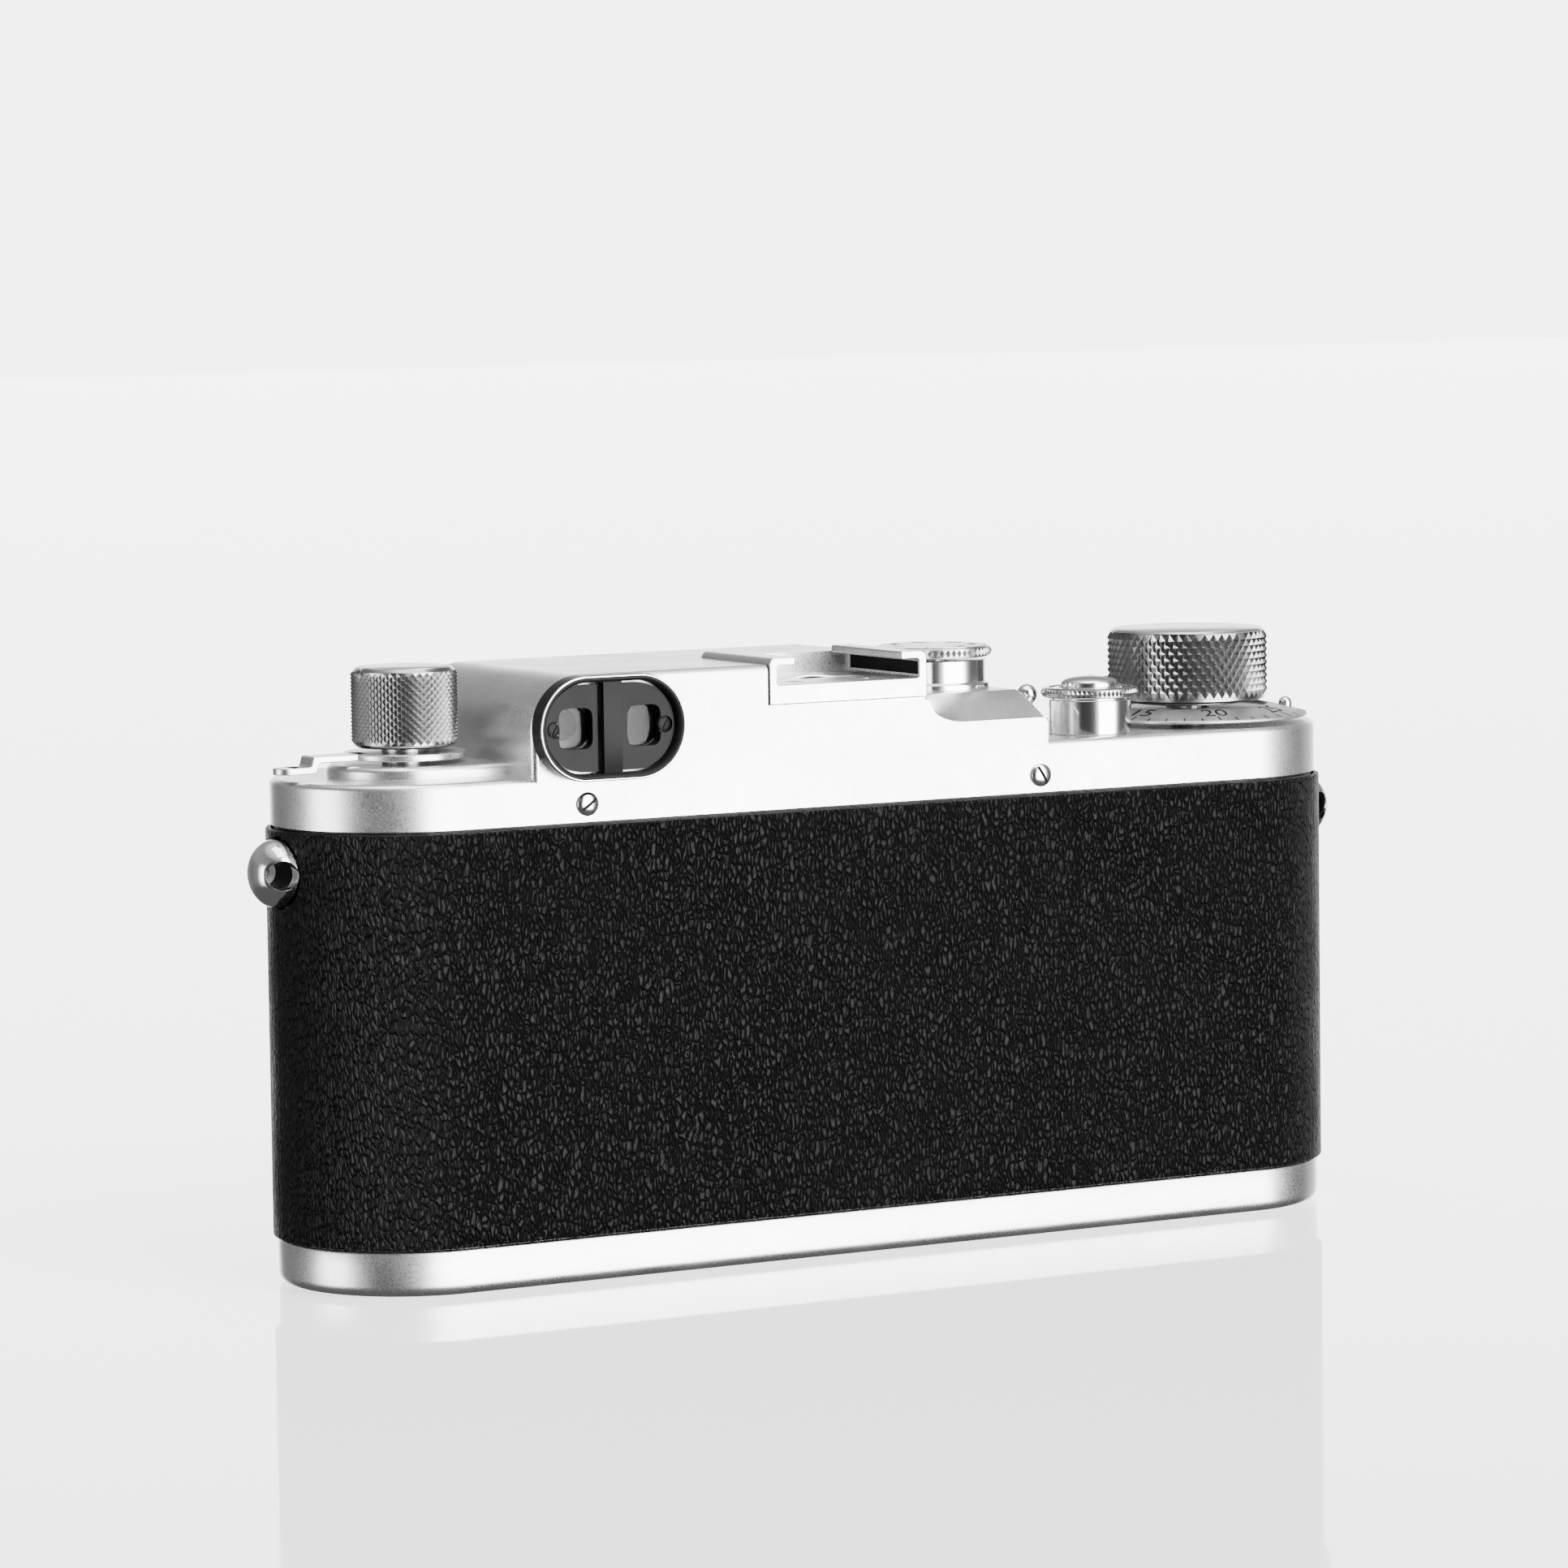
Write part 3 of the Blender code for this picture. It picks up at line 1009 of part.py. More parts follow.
def shutter_and_gate():
    low, high = CRATE_FOOT + CRATE_WALL + GAP, CRATE_TOP - CRATE_WALL - GAP
    for name, x, radius in (("drum", -DRUM_X, DRUM_RADIUS), ("roller", DRUM_X, ROLLER_RADIUS)):
        profile = [(0, CRATE_FOOT), (1.0, CRATE_FOOT), (1.0, low), (radius, low), (radius, high)]
        profile += [(1.0, high), (1.0, CRATE_TOP), (0, CRATE_TOP)]
        at = (x, CURTAIN_Y - GAP - radius, 0)
        to_object(f"curtain_{name}", turned(profile, 20), "steel", at)
    reach = FRAME_HEIGHT / 2 + 3
    cloth = box((-DRUM_X, CURTAIN_Y, LENS_Z - reach), (DRUM_X, CURTAIN_Y + 0.3, LENS_Z + reach))
    to_object("shutter_curtain", cloth, "curtain_cloth")

    front = CRATE_BACK + GAP
    edge = (FRAME_WIDTH / 2 + 5.5, FRAME_HEIGHT / 2 + 5)
    plate = box((-edge[0], front, LENS_Z - edge[1]), (edge[0], front + 0.7, LENS_Z + edge[1]))
    gate = to_object("film_gate", plate, "black_alloy")
    low = (-FRAME_WIDTH / 2, front - 1, LENS_Z - FRAME_HEIGHT / 2)
    high = (FRAME_WIDTH / 2, front + 2, LENS_Z + FRAME_HEIGHT / 2)
    cut(gate, tool("cut_gate_frame", box(low, high)))
    low = (3 - edge[0], front + 0.7 + GAP, LENS_Z - edge[1] + 2)
    high = (edge[0] - 3, front + 0.7 + GAP + 0.5, LENS_Z + edge[1] - 2)
    to_object("pressure_plate", box(low, high), "steel")


def rangefinder_arm():
    """The arm that follows the lens with a roller and turns the rangefinder."""
    at = (ARM_PIVOT_X, -ARM_Y, 0)
    low = CRATE_TOP + GAP
    arm = to_object("rangefinder_arm", rod(2.2, (0, 0, low), (0, 0, low + 3.0), 18), "brass", at)
    bar = box((-ARM_PIVOT_X - 1.6, -1.4, low + 0.2), (0, 1.4, low + 1.4))
    roller_z = LENS_Z + CARRIER_RADIUS - 1.0
    touch = ROOM_BACK - 0.2 - GAP - ARM_Y
    roller_y = ARM_ROLLER_RADIUS - touch
    leg = box((-ARM_PIVOT_X - 1.3, roller_y + 1.2, roller_z + 0.4), (-ARM_PIVOT_X + 1.3, 1.0, low + 1.0))
    foot, head = (-ARM_PIVOT_X, roller_y, roller_z - 1.0), (-ARM_PIVOT_X, roller_y, roller_z + 1.0)
    roller = rod(ARM_ROLLER_RADIUS, foot, head, 18)
    join(arm, tool("add_arm_bar", bar, at), tool("add_arm_leg", leg, at), tool("add_arm_roller", roller, at))


def build():
    clear_scene()
    base = base_plate()
    base_fittings()
    shell = body_shell()
    skin = body_covering()
    strap_lugs()
    cover = top_cover()
    cover_screws(cover, shell)
    eyepieces()
    front_windows()
    optical_block()
    accessory_shoe()
    wind_side()
    counter_dial()
    rewind_side()
    diopter_lever()
    release()
    advance_rewind_lever()
    speed_dials()
    slow_speed_dial(shell, skin)
    lens(shell, base, cover)
    shutter_crate()
    shutter_and_gate()
    rangefinder_arm()


build()
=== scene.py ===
import math

import bmesh
import bpy
from mathutils import Matrix, Vector


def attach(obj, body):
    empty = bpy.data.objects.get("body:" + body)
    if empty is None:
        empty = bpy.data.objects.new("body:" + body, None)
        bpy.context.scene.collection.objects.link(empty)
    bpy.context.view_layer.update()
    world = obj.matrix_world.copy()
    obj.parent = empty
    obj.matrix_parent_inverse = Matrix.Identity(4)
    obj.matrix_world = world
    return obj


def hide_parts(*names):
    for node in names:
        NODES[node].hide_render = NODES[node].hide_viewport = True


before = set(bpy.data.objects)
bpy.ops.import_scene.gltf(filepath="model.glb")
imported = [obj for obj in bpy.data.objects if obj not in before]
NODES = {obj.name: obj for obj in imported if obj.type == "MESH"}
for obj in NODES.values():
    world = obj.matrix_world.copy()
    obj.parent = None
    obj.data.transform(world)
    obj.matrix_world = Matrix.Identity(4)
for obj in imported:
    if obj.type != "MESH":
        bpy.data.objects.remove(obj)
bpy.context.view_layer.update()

MM = 0.001

# Sizes in millimetres, in the frame of the solid model
BODY_LENGTH, BODY_DEPTH = 136.0, 30.8
BASE_HEIGHT, SKIN_FOOT, SKIN_TOP = 5.0, 5.3, 51.2
COVER_FOOT, REWIND_DECK, WIND_DECK = 51.5, 56.75, 57.55
PLATFORM, PLATEAU, SHOE_SEAT, HOUSING_TOP = 58.15, 63.15, 63.4, 68.0
CHROME = 0.55
BACK = BODY_DEPTH / 2 - CHROME
HOUSING_END, SHOE_LEFT, SHOE_RIGHT, PLATEAU_END = 43.9, 13.6, -7.0, -23.3
SHOE_X, SHOE_FRONT = 3.3, -0.95
WIND_X, REWIND_X = -52.4, 52.2
RELEASE = (-33.1, 8.5)
SPEED_X = -16.8
LEVER = (-29.5, -9.0)
EYE_X, EYE_Z, WINDOW_Z = 34.8, 62.1, 62.4
RANGE_X, RANGE_RIGHT_X, FINDER_X, FINDER_WINDOW_X = 39.1, 1.1, 30.5, 29.6
LENS_Z = 28.25
LUG_Z = 46.6
SLOW_X, SLOW_Z = -27.3, 40.2
LOCK_X, BUSH_X = 50.0, -46.0

EYE_WIDTH, EYE_HEIGHT, EYE_HALF_GAP = 18.4, 11.8, 4.3
WIND_KNOB_RADIUS, REWIND_KNOB_RADIUS = 9.55, 6.0
DIAL_RADIUS, DIAL_INNER = 14.2, 9.85
DECK_EDGE = 0.75  # rounding along the top of the cover
LUG_RADIUS, LUG_EYE = 3.8, 1.65
COLLAR_RADIUS, RELEASE_RING_RADIUS, BUTTON_RADIUS = 4.85, 5.75, 3.4
SPEED_DIAL_RADIUS, SLOW_DIAL_RADIUS = 7.0, 5.4
FLANGE_RADIUS, FOCUS_RING_RADIUS, BARREL_HEAD = 22, 22.4, 18.0

FORWARD = (math.radians(90), 0, 0)
BACKWARD = (math.radians(-90), 0, 0)
TO_LEFT = (0, math.radians(90), 0)
TO_RIGHT = (0, math.radians(-90), 0)

# Brightness by bearing in degrees from +X, near the horizon and above it
LEVEL_STOPS = (
    (-180, 0.15), (-150, 1.5), (-138, 5.5), (-102, 5.5), (-92, 0.35), (-60, 0.2), (-30, 0.3), (-22, 3.0),
    (-14, 9.0), (2, 9.0), (10, 1.5), (20, 0.25), (35, 0.05), (60, 0.08), (72, 0.2), (82, 2.0), (86, 18.0),
    (128, 18.0), (136, 2.0), (142, 0.4), (152, 0.15),
)
RAISED_STOPS = ((-180, 0.3), (-150, 0.4), (-60, 0.4), (80, 0.12), (88, 14.0), (128, 14.0), (138, 0.3))
OVERHEAD = 1.2
BELOW = 0.12
BACKDROP = 5.5
FLOOR_GLOW = 1.2


# ---- materials ----------------------------------------------------------------


class Shader:
    """A small helper that adds nodes to a tree and joins them."""

    def __init__(self, tree):
        self.tree = tree

    def node(self, kind, **values):
        node = self.tree.nodes.new(kind)
        for key, value in values.items():
            if hasattr(node, key):
                setattr(node, key, value)
            else:
                node.inputs[key.replace("_", " ")].default_value = value
        return node

    def link(self, source, target):
        self.tree.links.new(source, target)

    def ramp(self, source, low, high, to_low, to_high):
        node = self.node("ShaderNodeMapRange")
        for key, value in zip(("From Min", "From Max", "To Min", "To Max"), (low, high, to_low, to_high)):
            node.inputs[key].default_value = value
        self.link(source, node.inputs["Value"])
        return node.outputs["Result"]

    def math(self, operation, first, second):
        node = self.node("ShaderNodeMath", operation=operation)
        self.link(first, node.inputs[0])
        if isinstance(second, float):
            node.inputs[1].default_value = second
        else:
            self.link(second, node.inputs[1])
        return node.outputs[0]


def new_group(name, outputs):
    tree = bpy.data.node_groups.new(name, "ShaderNodeTree")
    tree.interface.new_socket("Vector", in_out="INPUT", socket_type="NodeSocketVector")
    for output in outputs:
        tree.interface.new_socket(output, in_out="OUTPUT", socket_type="NodeSocketFloat")
    shader = Shader(tree)
    return shader, shader.node("NodeGroupInput"), shader.node("NodeGroupOutput")


def grain_group():
    """The fine frosting of satin chrome: an even speckle and slow cloudy changes."""
    s, start, end = new_group("satin_grain", ("Speckle", "Cloud"))
    speckle = s.node("ShaderNodeTexNoise", Scale=5200.0, Detail=2.0)
    cloud = s.node("ShaderNodeTexNoise", Scale=95.0, Detail=5.0, Roughness=0.6)
    for node, output in ((speckle, "Speckle"), (cloud, "Cloud")):
        s.link(start.outputs["Vector"], node.inputs["Vector"])
        s.link(node.outputs["Fac"], end.inputs[output])
    return s.tree


def wear_group():
    """Where handling has rubbed the edges: convex edges, broken up by noise."""
    s, start, end = new_group("edge_wear", ("Edge", "Scuff"))
    geometry = s.node("ShaderNodeNewGeometry")
    noise = s.node("ShaderNodeTexNoise", Scale=420.0, Detail=6.0, Roughness=0.7)
    s.link(start.outputs["Vector"], noise.inputs["Vector"])
    edge = s.ramp(geometry.outputs["Pointiness"], 0.53, 0.62, 0.0, 1.0)
    broken = s.ramp(noise.outputs["Fac"], 0.38, 0.62, 0.0, 1.0)
    s.link(s.math("MULTIPLY", edge, broken), end.inputs["Edge"])
    stretch = s.node("ShaderNodeMapping")
    stretch.inputs["Scale"].default_value = (300.0, 300.0, 1400.0)
    s.link(start.outputs["Vector"], stretch.inputs["Vector"])
    marks = s.node("ShaderNodeTexNoise", Scale=1.0, Detail=8.0, Roughness=0.75)
    s.link(stretch.outputs["Vector"], marks.inputs["Vector"])
    s.link(s.ramp(marks.outputs["Fac"], 0.66, 0.74, 0.0, 1.0), end.inputs["Scuff"])
    return s.tree


def wrinkle_group():
    """The upright wrinkles of old vulcanite, with fine pores between them."""
    s, start, end = new_group("vulcanite_wrinkles", ("Height", "Crease"))
    stretch = s.node("ShaderNodeMapping")
    stretch.inputs["Scale"].default_value = (1.0, 1.0, 0.45)
    s.link(start.outputs["Vector"], stretch.inputs["Vector"])
    warp = s.node("ShaderNodeTexNoise", Scale=650.0, Detail=2.0)
    s.link(stretch.outputs["Vector"], warp.inputs["Vector"])
    push = s.node("ShaderNodeVectorMath", operation="MULTIPLY_ADD")
    push.inputs[1].default_value = (0.0011, 0.0011, 0.0011)
    s.link(warp.outputs["Color"], push.inputs[0])
    s.link(stretch.outputs["Vector"], push.inputs[2])
    cells = s.node("ShaderNodeTexVoronoi", feature="DISTANCE_TO_EDGE", Scale=1800.0)
    s.link(push.outputs["Vector"], cells.inputs["Vector"])
    pores = s.node("ShaderNodeTexNoise", Scale=2600.0, Detail=3.0)
    s.link(push.outputs["Vector"], pores.inputs["Vector"])
    folds = s.ramp(cells.outputs["Distance"], 0.0, 0.34, 0.0, 1.0)
    soft = s.math("POWER", folds, 0.55)
    fine = s.math("MULTIPLY", pores.outputs["Fac"], 0.45)
    s.link(s.math("ADD", soft, fine), end.inputs["Height"])
    s.link(soft, end.inputs["Crease"])
    return s.tree


GROUPS = {}


def use_group(s, name):
    makers = {"grain": grain_group, "wear": wear_group, "wrinkles": wrinkle_group}
    if name not in GROUPS:
        GROUPS[name] = makers[name]()
    node = s.node("ShaderNodeGroup")
    node.node_tree = GROUPS[name]
    s.link(s.place, node.inputs["Vector"])
    return node


def new_material(name, colour, roughness, metallic=0.0, **sockets):
    material = bpy.data.materials.new(name)
    material.use_nodes = True
    s = Shader(material.node_tree)
    s.material = material
    s.main = material.node_tree.nodes["Principled BSDF"]
    s.main.inputs["Base Color"].default_value = (*colour, 1)
    s.main.inputs["Roughness"].default_value = roughness
    s.main.inputs["Metallic"].default_value = metallic
    for key, value in sockets.items():
        s.main.inputs[key.replace("_", " ")].default_value = value
    s.place = s.node("ShaderNodeTexCoord").outputs["Object"]
    return s


def set_bump(s, height, strength, distance):
    bump = s.node("ShaderNodeBump", Strength=strength, Distance=distance)
    s.link(height, bump.inputs["Height"])
    s.link(bump.outputs["Normal"], s.main.inputs["Normal"])


def vary_roughness(s, source, low, high):
    s.link(s.ramp(source, 0.3, 0.7, low, high), s.main.inputs["Roughness"])


def mix_colour(s, mask, first, second):
    mix = s.node("ShaderNodeMix", data_type="RGBA")
    mix.inputs[6].default_value = (*first, 1)
    mix.inputs[7].default_value = (*second, 1)
    s.link(mask, mix.inputs[0])
    return mix.outputs[2]


def chrome(name, grey, rough, speckle, wear=0.5, bump=0.05):
    s = new_material(name, (grey, grey, grey), rough, 1.0)
    grain, worn = use_group(s, "grain"), use_group(s, "wear")
    cloudy = s.ramp(grain.outputs["Cloud"], 0.3, 0.7, rough * 0.86, rough * 1.16)
    spread = s.ramp(grain.outputs["Speckle"], 0.3, 0.7, -speckle, speckle)
    scuffed = s.math("MULTIPLY", worn.outputs["Scuff"], 0.10 * wear)
    s.link(s.math("ADD", s.math("ADD", cloudy, spread), scuffed), s.main.inputs["Roughness"])
    edge = s.math("MULTIPLY", worn.outputs["Edge"], wear)
    s.link(mix_colour(s, edge, (grey, grey, grey), (0.93, 0.93, 0.93)), s.main.inputs["Base Color"])
    set_bump(s, grain.outputs["Speckle"], bump, 0.00004)
    return s.material


def knurl_metal(name):
    """Chrome whose hollows are darkened, partly for grime and partly as painted shade, while its points stay
    bright.
    """
    s = new_material(name, (0.6, 0.6, 0.6), 0.22, 1.0)
    geometry = s.node("ShaderNodeNewGeometry")
    hollow = s.ramp(geometry.outputs["Pointiness"], 0.42, 0.62, 0.0, 1.0)
    # Near-black colour in the hollows: grime and painted shade in the knurl grooves.
    hollow_grime_and_shade = s.math("POWER", hollow, 1.4)
    s.link(mix_colour(s, hollow_grime_and_shade, (0.004, 0.004, 0.004), (0.68, 0.68, 0.68)), s.main.inputs["Base Color"])
    grain = use_group(s, "grain")
    vary_roughness(s, grain.outputs["Cloud"], 0.17, 0.3)
    return s.material


def enamel(name, grey, rough, wear=1.0, shine=0.5):
    s = new_material(name, (grey, grey, grey), rough, Specular_IOR_Level=shine)
    grain, worn = use_group(s, "grain"), use_group(s, "wear")
    vary_roughness(s, grain.outputs["Cloud"], rough * 0.8, rough * 1.25)
    edge = s.math("MULTIPLY", worn.outputs["Edge"], wear)
    s.link(mix_colour(s, edge, (grey, grey, grey), (0.55, 0.54, 0.52)), s.main.inputs["Base Color"])
    s.link(s.math("MULTIPLY", edge, 0.8), s.main.inputs["Metallic"])
    set_bump(s, grain.outputs["Speckle"], 0.08, 0.00004)
    return s.material


def vulcanite():
    s = new_material("black_vulcanite", (0.004, 0.004, 0.004), 0.3, Specular_IOR_Level=0.085)
    wrinkles, grain = use_group(s, "wrinkles"), use_group(s, "grain")
    crease_shade = wrinkles.outputs["Crease"]
    # Darker colour in the creases between the wrinkles: painted shade.
    colour = mix_colour(s, crease_shade, (0.0005, 0.0005, 0.0005), (0.004, 0.004, 0.004))
    s.link(colour, s.main.inputs["Base Color"])
    vary_roughness(s, grain.outputs["Cloud"], 0.36, 0.5)
    set_bump(s, wrinkles.outputs["Height"], 1.0, 0.0003)
    return s.material


def brushed(name, colour, rough):
    s = new_material(name, colour, rough, 1.0)
    grain = use_group(s, "grain")
    vary_roughness(s, grain.outputs["Speckle"], rough * 0.8, rough * 1.2)
    set_bump(s, grain.outputs["Speckle"], 0.12, 0.00005)
    return s.material


def clear_glass(name, colour, rough=0.02, bend=1.5):
    s = new_material(name, colour, rough, 0.0, Transmission_Weight=1.0, IOR=bend)
    grain = use_group(s, "grain")
    s.link(s.ramp(grain.outputs["Cloud"], 0.4, 0.7, rough, rough + 0.03), s.main.inputs["Roughness"])
    return s.material


def make_materials():
    return {
        "satin": chrome("satin_chrome", 0.66, 0.3, 0.05, bump=0.12),
        "bright": chrome("bright_chrome", 0.78, 0.13, 0.02),
        "knurl": knurl_metal("knurled_chrome"),
        "dial": chrome("dial_chrome", 0.34, 0.44, 0.05, bump=0.12),
        "enamel": enamel("black_enamel", 0.012, 0.22),
        "alloy": enamel("black_alloy", 0.02, 0.5, wear=0.3),
        "gloss": enamel("gloss_black_enamel", 0.008, 0.32, wear=0.0, shine=0.06),
        "prism": enamel("prism_face", 0.03, 0.3, wear=0.0, shine=0.06),
        # This black serves the engraved numbers and also the painted shade in slots, holes, tunnels, wells
        # and the shoe.
        "mark": enamel("engraving_and_painted_shade_black", 0.004, 0.5, wear=0.0, shine=0.05),
        "skin": vulcanite(),
        "steel": brushed("machined_steel", (0.5, 0.5, 0.51), 0.3),
        "brass": brushed("machined_brass", (0.66, 0.5, 0.26), 0.32),
        "cloth": enamel("rubberised_silk", 0.008, 0.85, wear=0.0),
        "glass": clear_glass("window_glass", (0.93, 0.95, 0.95), bend=1.2),
        "lens": clear_glass("coated_lens_glass", (0.8, 0.84, 0.88)),
    }


# ---- shapes -------------------------------------------------------------------


def circle(radius, z, steps):
    if radius <= 0:
        return [Vector((0, 0, z))]
    turns = [2 * math.pi * i / steps for i in range(steps)]
    return [Vector((radius * math.cos(t), radius * math.sin(t), z)) for t in turns]


def slot(length, depth, z, centre=(0, 0), steps=40):
    radius = depth / 2
    reach = length / 2 - radius
    points = []
    for side in (1, -1):
        for i in range(steps + 1):
            turn = math.pi * (i / steps - 0.5)
            x = side * (reach + radius * math.cos(turn))
            points.append(Vector((centre[0] + x, centre[1] + side * radius * math.sin(turn), z)))
    return points


def body_outline(inset, z):
    return slot(BODY_LENGTH - 2 * inset, BODY_DEPTH - 2 * inset, z)


def square_ended(inset, z, square_x, steps=40):
    radius = BODY_DEPTH / 2 - inset
    centre = BODY_DEPTH / 2 - BODY_LENGTH / 2
    turns = [math.pi * (0.5 + i / steps) for i in range(steps + 1)]
    end = [Vector((centre + radius * math.cos(t), radius * math.sin(t), z)) for t in turns]
    return [Vector((square_x, radius, z)), *end, Vector((square_x, -radius, z))]


def rings(loops, closed=False):
    bm = bmesh.new()
    rows = [[bm.verts.new(point) for point in loop] for loop in loops]
    pairs = list(zip(rows, rows[1:]))
    if closed:
        pairs.append((rows[-1], rows[0]))
    for low, high in pairs:
        count = max(len(low), len(high))
        for i in range(count):
            j = (i + 1) % count
            corners = [low[i % len(low)], low[j % len(low)], high[j % len(high)], high[i % len(high)]]
            bm.faces.new(list(dict.fromkeys(corners)))
    if not closed:
        for row in (rows[0], rows[-1]):
            if len(row) > 2:
                bm.faces.new(row)
    bmesh.ops.recalc_face_normals(bm, faces=bm.faces)
    return bm


def turned(profile, steps=96):
    return rings([circle(r, z, steps) for r, z in profile], closed=profile[0][0] > 0)


def arc(centre, radius, start, end, steps):
    turns = [math.radians(start + (end - start) * i / steps) for i in range(steps + 1)]
    return [(centre[0] + radius * math.cos(t), centre[1] + radius * math.sin(t)) for t in turns]


def rounded(points, radii, steps=5):
    """A closed outline with its corners rounded."""
    result = []
    count = len(points)
    for i, point in enumerate(points):
        here = Vector(point)
        before, after = Vector(points[i - 1]), Vector(points[(i + 1) % count])
        radius = radii[i] if isinstance(radii, (list, tuple)) else radii
        if radius <= 0:
            result.append(tuple(here))
            continue
        start = here + (before - here).normalized() * radius
        end = here + (after - here).normalized() * radius
        for k in range(steps + 1):
            t = k / steps
            result.append(tuple(start * (1 - t) ** 2 + here * 2 * t * (1 - t) + end * t * t))
    return result


def round_profile(points, radii, steps=4):
    """A lathe profile from axis to axis, or closed, with its corners rounded."""
    if points[0][0] > 0:
        return rounded(points, radii, steps)
    radii = list(radii) if isinstance(radii, (list, tuple)) else [radii] * len(points)
    radii[0] = radii[-1] = 0
    return rounded(points, radii, steps)


def box(low, high):
    (x0, y0, z0), (x1, y1, z1) = low, high
    return prism([(x0, y0), (x1, y0), (x1, y1), (x0, y1)], z0, z1)


def stacked(rows, axis="Z"):
    """Flat outlines joined at their heights along Z or Y."""
    if axis == "Z":
        return rings([[Vector((a, b, h)) for a, b in ring] for h, ring in rows])
    return rings([[Vector((a, h, b)) for a, b in ring] for h, ring in rows])


def prism(outline, low, high, axis="Z"):
    return stacked([(low, outline), (high, outline)], axis)


def soft_prism(outline, low, high, edge=0.15, axis="Z"):
    """A prism whose two end edges are rounded a little."""
    centre = Vector((sum(p[0] for p in outline), sum(p[1] for p in outline))) / len(outline)
    reach = max((Vector(p) - centre).length for p in outline)
    small = 1 - edge / reach
    loops = []
    for share, size in ((0.0, small), (0.3, 1 - (1 - small) * 0.4), (1.0, 1.0)):
        ring = [centre + (Vector(p) - centre) * size for p in outline]
        loops.append((low + edge * share, ring))
    loops += [(high - (h - low), ring) for h, ring in reversed(loops)]
    return stacked(loops, axis)


def rod(radius, start, end, steps=32):
    start, end = Vector(start), Vector(end)
    length = (end - start).length
    bm = turned([(0, 0), (radius, 0), (radius, length), (0, length)], steps)
    aim = (end - start).to_track_quat("Z", "Y").to_matrix().to_4x4()
    bm.transform(Matrix.Translation(start) @ aim)
    return bm


def knurled(below, radius, low, high, above, around, rows, depth):
    """A turned shape with a band of diamond knurling between two profiles."""
    steps = 2 * around
    band = []
    for j in range(rows + 1):
        z = low + (high - low) * j / rows
        row = []
        for i in range(steps):
            peak = (i + j) % 2 == 0 and 0 < j < rows
            r = radius if peak else radius - depth
            row.append(Vector((r * math.cos(math.pi * i / around), r * math.sin(math.pi * i / around), z)))
        band.append(row)
    loops = [circle(r, z, steps) for r, z in below] + band + [circle(r, z, steps) for r, z in above]
    bm = rings(loops, below[0][0] > 0)
    bm.verts.ensure_lookup_table()
    bm.faces.ensure_lookup_table()
    start = sum(len(circle(r, z, steps)) for r, z in below)
    for j in range(rows):
        for i in range(steps):
            a = bm.verts[start + j * steps + i]
            b = bm.verts[start + j * steps + (i + 1) % steps]
            c = bm.verts[start + (j + 1) * steps + (i + 1) % steps]
            d = bm.verts[start + (j + 1) * steps + i]
            face = next(f for f in a.link_faces if c in f.verts and b in f.verts and d in f.verts)
            pair = (b, d) if (i + j) % 2 == 0 else (a, c)
            bmesh.utils.face_split(face, *pair)
    return bm


def on_circle(radius, angle):
    turn = math.radians(angle)
    return radius * math.cos(turn), radius * math.sin(turn)


def moved(bm, x=0, y=0, z=0, turn=0.0, axis="Z"):
    bm.transform(Matrix.Translation((x, y, z)) @ Matrix.Rotation(math.radians(turn), 4, axis))
    return bm


def merged(*shapes):
    """Several shapes in one mesh."""
    whole = bmesh.new()
    for shape in shapes:
        mesh = bpy.data.meshes.new("shape")
        shape.to_mesh(mesh)
        shape.free()
        whole.from_mesh(mesh)
        bpy.data.meshes.remove(mesh)
    return whole


def to_mesh(name, bm, sharp=32):
    mesh = bpy.data.meshes.new(name)
    bm.transform(Matrix.Scale(MM, 4))
    bm.to_mesh(mesh)
    bm.free()
    mesh.shade_smooth()
    mesh.set_sharp_from_angle(angle=math.radians(sharp))
    return mesh


def carve(bm, *cutters, at=(0, 0, 0), turn=(0, 0, 0)):
    """The shape with the cutters taken away, as a new shape in millimetres."""
    whole = bpy.data.objects.new("carved", to_mesh("carved", bm))
    bpy.context.scene.collection.objects.link(whole)
    hidden = []
    for cutter in cutters:
        other = bpy.data.objects.new("cutter", to_mesh("cutter", cutter))
        bpy.context.scene.collection.objects.link(other)
        step = whole.modifiers.new("carve", "BOOLEAN")
        step.operation, step.solver, step.object = "DIFFERENCE", "EXACT", other
        hidden.append(other)
    bpy.context.view_layer.update()
    result = whole.evaluated_get(bpy.context.evaluated_depsgraph_get()).to_mesh()
    shape = bmesh.new()
    shape.from_mesh(result)
    shape.transform(Matrix.Scale(1 / MM, 4))
    for thing in (whole, *hidden):
        bpy.data.objects.remove(thing, do_unlink=True)
    return shape


def piece(
    name, bm, material, body="camera", stands_for=(), at=(0, 0, 0), turn=(0, 0, 0),
    bevel=0.0, sharp=32, even=False,
):
    """A finished piece: placed, shaded, given its material and carried by its body."""
    mesh = to_mesh(name, bm, sharp)
    thing = bpy.data.objects.new(name, mesh)
    bpy.context.scene.collection.objects.link(thing)
    place = Matrix.Translation(Vector(at) * MM)
    for i, angle in enumerate(turn):
        if angle:
            place = place @ Matrix.Rotation(angle, 4, "XYZ"[i])
    mesh.transform(place)
    mesh.materials.append(MATERIALS[material])
    if bevel:
        step = thing.modifiers.new("edges", "BEVEL")
        step.width, step.segments, step.limit_method = bevel * MM, 2, "ANGLE"
        step.angle_limit = math.radians(40)
    if bevel or even:
        step = thing.modifiers.new("even_shading", "WEIGHTED_NORMAL")
        step.keep_sharp, step.weight = True, 90
    if stands_for:
        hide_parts(*([stands_for] if isinstance(stands_for, str) else stands_for))
    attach(thing, body)
    return thing


